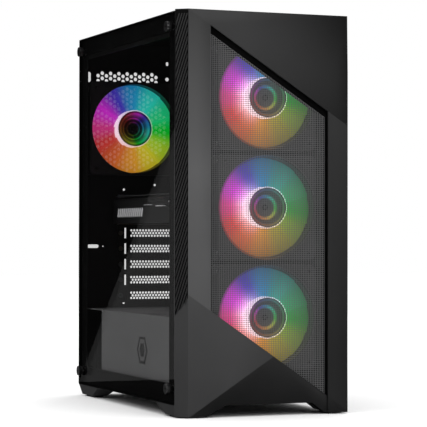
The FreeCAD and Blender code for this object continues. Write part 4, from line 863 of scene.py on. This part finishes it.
# %% Chamfer ribs
BAND = math.hypot(CHAMFER_X, CHAMFER_Y)
RIB_WIDTH, RIB_HEIGHT, RIB_TILT, RIB_PITCH = 1.5, 0.6, 18.0, 9.7
RIB_COUNT = 38
rib = block((-RIB_WIDTH / 2, RIB_WIDTH / 2), (-RIB_HEIGHT, 0.3), (-32.0, 32.0))
pick(rib, lambda c, n: n.y < -0.5)
bpy.ops.mesh.bevel(offset=0.35 * MM, segments=2)
deselect()
only(rib)
bpy.ops.object.mode_set(mode="EDIT")
bpy.ops.mesh.select_all(action="SELECT")
bpy.ops.transform.rotate(value=math.radians(-RIB_TILT), orient_axis="Y", center_override=(0, 0, 0))
bpy.ops.transform.translate(value=(BAND / 2 * MM, 0, 105.0 * MM))
bpy.ops.object.mode_set(mode="OBJECT")
tilt_seen = max(rib.data.vertices, key=lambda v: v.co.z).co.x
print("top of the first rib leans to x", round(tilt_seen / MM, 1))
apply_modifier(rib, "ARRAY", count=RIB_COUNT, use_relative_offset=False, use_constant_offset=True,
               constant_offset_displace=(0.0, 0.0, RIB_PITCH * MM))
for point, normal in (((0.9 * MM, 0, 0), (-1, 0, 0)), (((BAND - 0.9) * MM, 0, 0), (1, 0, 0)),
                      ((0, 0, 455.0 * MM), (0, 0, 1)), ((0, 0, 115.6 * MM), (1.54, 0, -1))):
    edit(rib)
    bpy.ops.mesh.bisect(plane_co=point, plane_no=normal, clear_outer=True, use_fill=True)
deselect()
slope = math.atan2(-CHAMFER_Y, CHAMFER_X)
rib.matrix_world = Matrix.Translation((LEFT * MM, (FRONT + CHAMFER_Y) * MM, 0)) @ \
    Matrix.Rotation(slope, 4, "Z")
finish_piece(rib, "chamfer_ribs", "bezel", rib_shaded_grey)

# %% [markdown]
# ## The front mesh
# Behind the window of the front sits a sheet of finely punched steel, coated grey-black. Each
# cell is a square with a square hole: a grid is inset face by face, the inner faces are
# deleted, the sheet is cut to the window's outline, and it gets its thickness last. It is
# made in two halves, because one would have too many faces.

# %% Punched mesh sheets
MESH_PITCH, MESH_HOLE, MESH_FACE, MESH_THICK = 2.2, 1.72, -181.0, 0.4
MESH_LEFT = STRIP_RIGHT - 2.6
MESH_LOW, MESH_HIGH, HALF_COLUMNS = 14.0, 448.0, 33
# Each slanted edge: its line, how far the sheet ends below it, and the side that is cut off.
MESH_CUTS = ((UPPER_LINE, -8.4, 1), (LOWER_LINE, -2.6, -1))


def mesh_sheet(name, x_range, replaced=()):
    """A punched sheet that fills the window between two values of x."""
    low, high = MESH_LOW, MESH_HIGH
    columns = round((x_range[1] - x_range[0]) / MESH_PITCH)
    rows = round((high - low) / MESH_PITCH)
    deselect()
    bpy.ops.mesh.primitive_grid_add(x_subdivisions=columns, y_subdivisions=rows, size=1.0)
    sheet = bpy.context.object
    sheet.scale = ((x_range[1] - x_range[0]) * MM, (high - low) * MM, 1.0)
    settle()
    edit(sheet)
    bpy.ops.transform.rotate(value=math.radians(-90), orient_axis="X", center_override=(0, 0, 0))
    bpy.ops.transform.translate(value=(sum(x_range) / 2 * MM, MESH_FACE * MM,
                                       (low + high) / 2 * MM))
    for line, shift, up in MESH_CUTS:
        slope = (line[0][1] - line[1][1]) / (line[1][0] - line[0][0])
        edit(sheet)
        bpy.ops.mesh.bisect(plane_co=(0, MESH_FACE * MM, (on_line(line, 0) + shift) * MM),
                            plane_no=(slope * up, 0, up), clear_outer=True)
    edit(sheet)
    bpy.ops.mesh.inset(thickness=(MESH_PITCH - MESH_HOLE) / 2 * MM, use_individual=True,
                       use_boundary=True)
    bpy.ops.mesh.delete(type="FACE")
    deselect()
    outward = sum(face.normal.y for face in sheet.data.polygons)
    if outward > 0:
        edit(sheet)
        bpy.ops.mesh.flip_normals()
        deselect()
    apply_modifier(sheet, "SOLIDIFY", thickness=MESH_THICK * MM, offset=-1.0)
    return finish_piece(sheet, name, "bezel", mesh_coat, replaced)


middle = MESH_LEFT + MESH_PITCH * HALF_COLUMNS
mesh_sheet("mesh_left", (MESH_LEFT, middle), ["front_mesh"])
mesh_sheet("mesh_right", (middle, middle + MESH_PITCH * HALF_COLUMNS))

# %% [markdown]
# ## Lit case-fan rotors
# A case fan's rotor is a deep round hub with a dished front and eleven broad milky blades close
# to its rear. The hub starts as a cylinder whose front face is inset and pushed in, ring by
# ring. One blade starts as a plane that is widened, twisted and trimmed to the fan's bore, and
# spin copies it around the axis. All four case fans use the same rotor.

# %% Rotor hub
HUB_R, TIP_R, HUB_DEPTH, BLADE_COUNT = 24.0, 56.9, 18.4, 11
BACKWARDS = (0, 1, 0)
rotor = rod("Y", HUB_R, HUB_DEPTH, (0, HUB_DEPTH / 2, 0), 72)
pick(rotor, lambda c, n: n.y < -0.9)
terrace(BACKWARDS, ((1.3, 0.0), (0.5, 0.9), (1.6, 0.0), (0.4, -0.5), (0.7, 0.0), (1.2, 3.2),
                    (2.6, 2.2), (1.2, 0.0), (0.5, 1.4), (1.1, 0.0), (2.2, 1.0), (1.0, 0.0),
                    (0.6, -0.6), (3.4, 0.4)))
deselect()


def hub_tone(centre, normal):
    """0 lit side wall, 1 lit rim, 2 black, 3 the bowl, where the light shows as thin rings."""
    r = math.hypot(centre.x, centre.z) / MM
    if r > HUB_R - 0.1 and abs(normal.y) < 0.5:
        return 0
    if normal.y > 0.5:
        return 2
    if r > HUB_R - 1.3:
        return 1
    return 2 if r > HUB_R - 2.6 else 3


for face in rotor.data.polygons:
    face.material_index = hub_tone(face.center, face.normal)
print("hub faces", len(rotor.data.polygons))

# %% Rotor blades
BLADE_PLANE = 14.0
# Bands of the blade outwards from the hub: from, to, pitch in degrees, and widening.
BLADE_BANDS = ((HUB_R - 4, HUB_R + 3, 20.0, 0.9), (HUB_R + 3, HUB_R + 10, 17.0, 1.1),
               (HUB_R + 10, HUB_R + 17, 13.0, 1.3), (HUB_R + 17, HUB_R + 24, 9.5, 1.52),
               (HUB_R + 24, HUB_R + 31, 6.5, 1.74), (HUB_R + 31, HUB_R + 39, 4.5, 2.0))
blade = block((HUB_R - 3.0, TIP_R + 5.1), (-9.5, 9.5), (-0.6, 0.6))
edit(blade)
bpy.ops.mesh.subdivide(number_cuts=5)
for low, high, pitch, widen in BLADE_BANDS:
    pick(blade, lambda c, n: low <= c.x / MM < high, "VERT")
    bpy.ops.transform.resize(value=(1.0, widen, 1.0), center_override=(0, 0, 0))
    bpy.ops.transform.rotate(value=math.radians(pitch), orient_axis="X", center_override=(0, 0, 0))
deselect()
edit(blade)
bpy.ops.transform.rotate(value=math.radians(90), orient_axis="X", center_override=(0, 0, 0))
deselect()
carve(blade, rod("Y", TIP_R, 100.0, sides=128), "INTERSECT")
edit(blade)
bpy.ops.transform.translate(value=(0, BLADE_PLANE * MM, 0))
bpy.ops.mesh.spin(steps=BLADE_COUNT - 1, dupli=True, center=(0, 0, 0), axis=(0, 1, 0),
                  angle=2 * math.pi * (BLADE_COUNT - 1) / BLADE_COUNT)
deselect()
for face in blade.data.polygons:
    face.material_index = 4
low_y = min(v.co.y for v in blade.data.vertices) / MM
high_y = max(v.co.y for v in blade.data.vertices) / MM
print("blade faces", len(blade.data.polygons), "from", round(low_y, 1), "to", round(high_y, 1))

# %% Rotor: join, flat map and four copies
for finish in (hub_side_glow, hub_rim_glow, hub_black, front_bowl_glow, front_blade_glow):
    rotor.data.materials.append(finish)
    blade.data.materials.append(finish)
rotor = joined([rotor, blade])
edit(rotor)
bpy.ops.mesh.normals_make_consistent(inside=False)
deselect()


def map_from_front(mesh):
    """Give the mesh one flat map, as seen from the front, with the hub at its middle."""
    while mesh.uv_layers:
        mesh.uv_layers.remove(mesh.uv_layers[0])
    layer = mesh.uv_layers.new(name="front")
    for loop in mesh.loops:
        place = mesh.vertices[loop.vertex_index].co
        layer.data[loop.index].uv = [0.5 + v / (2 * TIP_R * MM) for v in (place.x, place.z)]


def at_fan(model, part_name):
    """A copy of a model, moved to the middle of the front face of a fan's part."""
    low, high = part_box(part_name)
    twin = copy_of(model)
    twin.location = ((low.x + high.x) / 2, low.y, (low.z + high.z) / 2)
    return twin


map_from_front(rotor.data)
only(rotor)
bpy.ops.object.shade_smooth_by_angle(angle=math.radians(40))
for name in ("front_fan_bottom", "front_fan_middle", "front_fan_top", "rear_fan"):
    wheel = at_fan(rotor, f"{name}_rotor")
    if name == "rear_fan":
        wheel.data.materials[3], wheel.data.materials[4] = bowl_glow, rear_blade_glow
    finish_piece(wheel, f"{name}_lit_rotor", f"{name}_rotor",
                 replaces=[f"{name}_rotor"])
bpy.data.objects.remove(rotor)

# %% [markdown]
# ## Light rings around the front fans
# Each front fan has a thin milky ring around its bore that picks up the colours of the blades.
# It is a torus, flattened until it lies on the fan's frame like a washer.

# %% Light rings
RING_R, RING_HALF = 58.7, 1.2
deselect()
bpy.ops.mesh.primitive_torus_add(major_radius=RING_R * MM, minor_radius=RING_HALF * MM,
                                 major_segments=96, minor_segments=8,
                                 rotation=(math.pi / 2, 0, 0))
ring = bpy.context.object
settle()
edit(ring)
bpy.ops.transform.resize(value=(1.0, 0.28, 1.0), center_override=(0, 0, 0))
bpy.ops.transform.translate(value=(0, -0.36 * MM, 0))
deselect()
map_from_front(ring.data)
only(ring)
bpy.ops.object.shade_smooth()
for level in ("bottom", "middle", "top"):
    washer = at_fan(ring, f"front_fan_{level}_frame")
    finish_piece(washer, f"front_fan_{level}_light_ring", "chassis", ring_glow)
bpy.data.objects.remove(ring)

# %% [markdown]
# ## The printed border of the glass
# The glass panel has a black border printed on its inner face, which hides the steel edges
# behind it. It is a thin plate with one large window, and a round clearance for each of the
# four posts that the thumbscrews go into.

# %% Glass border
GLASS_Y, GLASS_Z = (-173.0, 184.0), (14.8, 458.0)
BORDER_Y, BORDER_Z = (-145.5, 159.4), (36.5, 437.0)
POST_Y, POST_Z, POST_CLEARANCE = (-158.0, 171.0), (32.0, 442.0), 4.4
border = block((-100.95, -100.65), GLASS_Y, GLASS_Z)
carve(border, block((-103.0, -98.0), BORDER_Y, BORDER_Z))
for y in POST_Y:
    for z in POST_Z:
        carve(border, rod("X", POST_CLEARANCE, 10.0, (-100.8, y, z)))
finish_piece(border, "glass_border", "glass_side", print_ink)

# %% [markdown]
# ## Small parts on the board
# A bare board looks unfinished, so it gets what stands on a real one: round can capacitors,
# square chokes, flat chips and a coin cell. Each kind is modelled once, from a primitive with
# insets and bevels, and copied to its places; the copies of one kind are one object.

# %% Board part helpers
BOARD_FACE = 69.9
FROM_GLASS = (1, 0, 0)


def upright(radius, height, sides=24):
    """A cylinder that stands on the board's face and points to the glass, at y = z = 0."""
    return rod("X", radius, height, (BOARD_FACE - height / 2, 0, 0), sides)


def spread(model, places, name, material, body="chassis"):
    """Copies of one model at several (y, z) places, joined to one piece."""
    copies = []
    for y, z in places:
        twin = copy_of(model)
        twin.location = (0, y * MM, z * MM)
        copies.append(twin)
    bpy.data.objects.remove(model)
    whole = joined(copies)
    only(whole)
    bpy.ops.object.shade_smooth_by_angle(angle=math.radians(35))
    return finish_piece(whole, name, body, material)


# %% Capacitors, chokes, chips and coin cell
can = upright(3.1, 9.0)
pick(can, lambda c, n: n.x < -0.9)
terrace(FROM_GLASS, ((0.3, -0.3), (0.5, 0.0), (0.2, 0.35), (1.1, 0.0), (0.1, 0.15)))
deselect()
can_places = [(31.5, z) for z in range(308, 392, 12)] + [(y, 291.0) for y in range(60, 140, 10)]
can_places += [(y, z) for y in (134.0, 146.0) for z in (152.0, 164.0, 176.0, 188.0)]
can_finish = moulded("capacitor_can", grey(0.42), grey(0.5), (0.28, 0.4), FINE, 0.0, 0.4)
spread(can, can_places, "board_capacitors", can_finish)

choke = block((BOARD_FACE - 6.0, BOARD_FACE), (-3.8, 3.8), (-3.8, 3.8))
pick(choke, lambda c, n: n.x < -0.9)
terrace(FROM_GLASS, ((0.9, -0.7),))
deselect()
soften(choke, 0.35 * MM, 2)
spread(choke, [(41.5, z) for z in range(310, 390, 13)], "board_chokes",
       dark_blade)

chip = block((BOARD_FACE - 1.4, BOARD_FACE), (-7.0, 7.0), (-7.0, 7.0))
pick(chip, lambda c, n: n.x < -0.9)
terrace(FROM_GLASS, ((0.7, -0.3), (1.6, 0.15)))
deselect()
chip_places = [(-24.0, 226.0), (-2.0, 252.0), (132.0, 226.0), (140.0, 250.0), (-32.0, 262.0),
               (134.0, 136.0)]
spread(chip, chip_places, "board_chips", socket_plastic)

cell = upright(10.0, 3.4, 48)
pick(cell, lambda c, n: n.x < -0.9)
terrace(FROM_GLASS, ((0.4, -0.4), (1.4, 0.0), (0.3, 0.3), (4.0, 0.0), (0.2, -0.15)))
deselect()
spread(cell, [(2.0, 222.0)], "board_coin_cell", plated_steel)

# %% [markdown]
# ## The graphics card's side
# The side of the card that faces the glass carries a plain row of slanted light bars and three thin
# near-white trim strips, whose near-white is a painted glint along the card's edges. The bars are
# one slanted bar repeated by an array.

# %% Card light bars and trim
CARD_SIDE = -60.0
BAR_COUNT, BAR_PITCH, BAR_LEAN, BAR_Y, BAR_Z = 13, 7.6, -22.0, 66.0, 234.6
# Each trim strip: its two ends, its height on the card, and how tall it is.
TRIMS = (((-51.5, 14.0), 241.6, 1.3), ((-51.5, 8.0), 246.6, 0.9), ((28.0, 58.0), 243.4, 0.8))
bar = block((CARD_SIDE - 0.5, CARD_SIDE + 0.1), (-2.1, 2.1), (-5.6, 5.6))
soften(bar, 0.25 * MM, 2)
edit(bar)
bpy.ops.transform.rotate(value=math.radians(BAR_LEAN), orient_axis="X",
                         center_override=(CARD_SIDE * MM, 0, 0))
bpy.ops.transform.translate(value=(0, BAR_Y * MM, BAR_Z * MM))
deselect()
apply_modifier(bar, "ARRAY", count=BAR_COUNT, use_relative_offset=False, use_constant_offset=True,
               constant_offset_displace=(0.0, BAR_PITCH * MM, 0.0))
bar_finish, tree, shader = new_finish("card_light_bars")
milky = use_effect(tree, GRAIN, Size=400.0, Depth=0.1)
shader.inputs["Emission Strength"].default_value = 0.3
shader.inputs["Roughness"].default_value = 0.4
for dark, light, socket in ((grey(0.72), grey(0.95), "Emission Color"),
                            (grey(0.3), grey(0.4), "Base Color")):
    wire(tree, between(tree, milky.outputs["Cloud"], dark, light), shader.inputs[socket])
finish_piece(bar, "card_light_bars", "chassis", bar_finish)

trims = []
for y, z, height in TRIMS:
    trim = block((CARD_SIDE - 0.7, CARD_SIDE + 0.1), y, (z - height / 2, z + height / 2))
    pick(trim, lambda c, n: n.x < -0.9)
    terrace(FROM_GLASS, ((0.2, -0.15),))
    deselect()
    trims.append(trim)
# The near-white of the strips is a painted glint, light caught along the card's edges.
glint_strip_finish = moulded("painted_glint_strip", grey(0.75), grey(0.9), (0.25, 0.35), FINE, 0.0, 0.2)
finish_piece(joined(trims), "card_trim", "chassis", glint_strip_finish)

# %% [markdown]
# ## Badge on the shroud
# The shroud's side carries a plain six-sided badge: a ring with a smaller six-sided stud in it.
# Both come from one six-sided cylinder, thin and lying on the shroud, whose face is inset in steps.

# %% Shroud badge
BADGE_R, BADGE_Y, BADGE_Z = 18.0, -42.0, 69.5
badge = rod("X", BADGE_R, 0.8, (-97.3, BADGE_Y, BADGE_Z), 6)
pick(badge, lambda c, n: n.x < -0.9)
terrace(FROM_GLASS, ((2.6, 0.0), (0.3, 0.5), (4.6, 0.0), (0.3, -0.5), (2.4, 0.0), (0.3, 0.4)))
deselect()
badge.data.materials.append(socket_plastic)
badge.data.materials.append(shroud_steel)
for face in badge.data.polygons:
    away = math.hypot(face.center.y / MM - BADGE_Y, face.center.z / MM - BADGE_Z)
    face.material_index = 1 if face.center.x / MM > -97.35 and 8.0 < away < 14.5 else 0
finish_piece(badge, "shroud_badge", "chassis")

# %% [markdown]
# ## Rear ports
# The port shield has plain rectangular and round cut-outs. Each rectangular one gets the tongue
# that carries its contacts, and each round one gets a coloured collar, the way sound sockets are
# told apart.

# %% Port tongues and sound-socket collars
tongues = []
for z in (300.0, 320.0, 340.0):
    for x in (38.0, 47.0, 62.0):
        tongue = block((x - 1.0, x + 0.4), (172.0, 182.6), (z - 5.4, z + 5.4))
        pick(tongue, lambda c, n: n.y > 0.9)
        bpy.ops.transform.resize(value=(0.7, 1.0, 0.94))
        deselect()
        tongues.append(tongue)
tongue_finish = moulded("port_tongue", (0.02, 0.10, 0.30), (0.03, 0.13, 0.36), (0.35, 0.5), FINE,
                        0.0)
finish_piece(joined(tongues), "rear_port_tongues", "chassis", tongue_finish)

COLLARS = (((0.02, 0.20, 0.05), (38.0, 270.5)), ((0.03, 0.12, 0.35), (51.0, 270.5)),
           ((0.45, 0.10, 0.16), (64.0, 270.5)), ((0.02, 0.02, 0.02), (38.0, 283.5)),
           ((0.40, 0.14, 0.02), (51.0, 283.5)), ((0.12, 0.12, 0.12), (64.0, 283.5)))
COLLAR_R, COLLAR_THICK, COLLAR_Y, COLLAR_HOLE = 3.4, 0.6, 184.3, 2.1
collars = []
for index, (colour, (x, z)) in enumerate(COLLARS):
    collar = rod("Y", COLLAR_R, COLLAR_THICK, (x, COLLAR_Y, z))
    pick(collar, lambda c, n: abs(n.y) > 0.9)
    bpy.ops.mesh.inset(thickness=0.3 * MM)
    bpy.ops.transform.resize(value=(1.0, 0.7, 1.0),
                             center_override=(x * MM, COLLAR_Y * MM, z * MM))
    bpy.ops.mesh.inset(thickness=1.2 * MM)
    bpy.ops.mesh.delete(type="FACE")
    bpy.ops.object.mode_set(mode="OBJECT")
    for edge in collar.data.edges:
        ends = [collar.data.vertices[v].co for v in edge.vertices]
        edge.select = all(math.hypot(e.x / MM - x, e.z / MM - z) < COLLAR_HOLE for e in ends)
    bpy.ops.object.mode_set(mode="EDIT")
    bpy.ops.mesh.select_mode(type="EDGE")
    bpy.ops.mesh.bridge_edge_loops()
    bpy.ops.mesh.select_all(action="SELECT")
    bpy.ops.mesh.normals_make_consistent(inside=False)
    deselect()
    lighter = tuple(v * 1.25 for v in colour)
    collar.data.materials.append(moulded(f"socket_collar_{index}", colour, lighter, (0.35, 0.5),
                                         FINE, 0.0))
    collars.append(collar)
only(*collars)
bpy.ops.object.shade_smooth_by_angle(angle=math.radians(35))
finish_piece(joined(collars), "rear_sound_collars", "chassis")

# %% [markdown]
# ## Roof filter
# The roof's dust filter is a thin moulded frame with three cross bars over a fine screen. The
# frame is a plate with its openings cut out, and the screen is a thin sheet just under its top.

# %% Roof filter frame and screen
FILTER_X, FILTER_Y, FILTER_Z = (-82.0, 82.0), (-128.0, 162.0), (456.05, 458.05)
CELLS, BAR, END_BAR, SIDE_BAR = 4, 5.0, 6.0, 7.0
filter_frame = block(FILTER_X, FILTER_Y, FILTER_Z)
step = (FILTER_Y[1] - FILTER_Y[0] - 2 * END_BAR + BAR) / CELLS
for index in range(CELLS):
    low = FILTER_Y[0] + END_BAR + index * step
    carve(filter_frame, block((FILTER_X[0] + SIDE_BAR, FILTER_X[1] - SIDE_BAR),
                              (low, low + step - BAR), (450.0, 465.0)))
soften(filter_frame, 0.5 * MM, 2)
finish_piece(filter_frame, "roof_filter_frame", "roof_filter", fan_housing,
             ["top_filter"])
deselect()
bpy.ops.mesh.primitive_grid_add(x_subdivisions=16, y_subdivisions=28, size=1.0,
                                location=(0, sum(FILTER_Y) / 2 * MM, 457.1 * MM))
screen = bpy.context.object
screen.scale = ((FILTER_X[1] - FILTER_X[0] - 12.0) * MM,
                (FILTER_Y[1] - FILTER_Y[0] - 10.0) * MM, 1.0)
settle()
apply_modifier(screen, "SOLIDIFY", thickness=0.3 * MM, offset=0.0)
finish_piece(screen, "roof_filter_screen", "roof_filter", filter_cloth)

# %% [markdown]
# ## Floor and light
# The floor is a plain pale plane under an even white surround. The surround looks white to the
# eye but is dim in mirrors, so that the black parts stay black, and soft panels of light from
# the front, the top and the rear give the faces their tone.

# %% Floor
deselect()
bpy.ops.mesh.primitive_plane_add(size=16.0, location=(0, 0, 0))
floor = bpy.context.object
floor.name = "floor"
floor_finish, tree, shader = new_finish("pale_floor")
shader.inputs["Base Color"].default_value = (0.9, 0.9, 0.9, 1.0)
shader.inputs["Roughness"].default_value = 0.9
shader.inputs["Specular IOR Level"].default_value = 0.1
floor.data.materials.append(floor_finish)
floor.visible_glossy = False

# %% Surround
AROUND, IN_MIRRORS, TO_THE_EYE = 0.55, 0.02, 1.0
world = bpy.data.worlds.new("surround")
bpy.context.scene.world = world
world.use_nodes = True
tree = world.node_tree
tree.nodes.clear()
rays = node(tree, "ShaderNodeLightPath")
backgrounds = []
for strength in (AROUND, IN_MIRRORS, TO_THE_EYE):
    made = node(tree, "ShaderNodeBackground")
    made.inputs["Color"].default_value = (1.0, 1.0, 1.0, 1.0)
    made.inputs["Strength"].default_value = strength
    backgrounds.append(made.outputs[0])
output = node(tree, "ShaderNodeOutputWorld")
current = backgrounds[0]
for kind, background in (("Is Glossy Ray", backgrounds[1]), ("Is Camera Ray", backgrounds[2])):
    mix = node(tree, "ShaderNodeMixShader")
    wire(tree, rays.outputs[kind], mix.inputs[0])
    wire(tree, current, mix.inputs[1])
    wire(tree, background, mix.inputs[2])
    current = mix.outputs[0]
wire(tree, current, output.inputs["Surface"])


# %% Soft panels of light
def soft_panel(name, location, target, size, power):
    """A rectangular light that looks at a target."""
    light = bpy.data.lights.new(name, "AREA")
    light.shape, light.size, light.size_y, light.energy = "RECTANGLE", size[0], size[1], power
    panel = linked(name, light)
    panel.location = location
    panel.rotation_euler = (Vector(target) - Vector(location)).to_track_quat("-Z", "Y").to_euler()
    return panel


soft_panel("front_panel", (0.5, -2.6, 1.5), (0, -0.2, 0.25), (1.6, 1.6), 22.0)
soft_panel("rear_panel_light", (1.6, 2.2, 1.4), (0, 0.1, 0.25), (1.2, 1.2), 14.0)
soft_panel("left_panel", (-2.4, -0.6, 1.9), (0, 0, 0.2), (1.2, 1.2), 20.0)
sky = linked("wide_sky", bpy.data.lights.new("wide_sky", "SUN"))
sky.data.energy, sky.data.angle = 2.2, math.radians(80)
sky.visible_glossy = False
print("lights set")

# %% [markdown]
# ## A pale card for the glass to mirror
# The glass would look empty without something to mirror. A bright card stands behind and to the
# left of the tower; its slanted edge shows as a faint wedge across the glass. Only mirrors see
# the card: it gives no light and casts no shadow.

# %% Mirror card
deselect()
bpy.ops.mesh.primitive_plane_add(size=1.0, location=(0, 0, 0))
card = bpy.context.object
card.name = "mirror_card"
CARD_CORNERS = ((-0.80, 0.0), (-0.173, 0.0), (-0.80, 0.49), (-0.367, 0.49))
for vertex, (x, z) in zip(card.data.vertices, CARD_CORNERS):
    vertex.co = (x, 0.4, z)
card_finish, tree, shader = new_finish("mirror_card_glow")
shader.inputs["Base Color"].default_value = (0.0, 0.0, 0.0, 1.0)
shader.inputs["Emission Color"].default_value = (1.0, 1.0, 1.0, 1.0)
shader.inputs["Emission Strength"].default_value = 0.3
card.data.materials.append(card_finish)
card.visible_camera = card.visible_diffuse = card.visible_shadow = card.visible_transmission = False
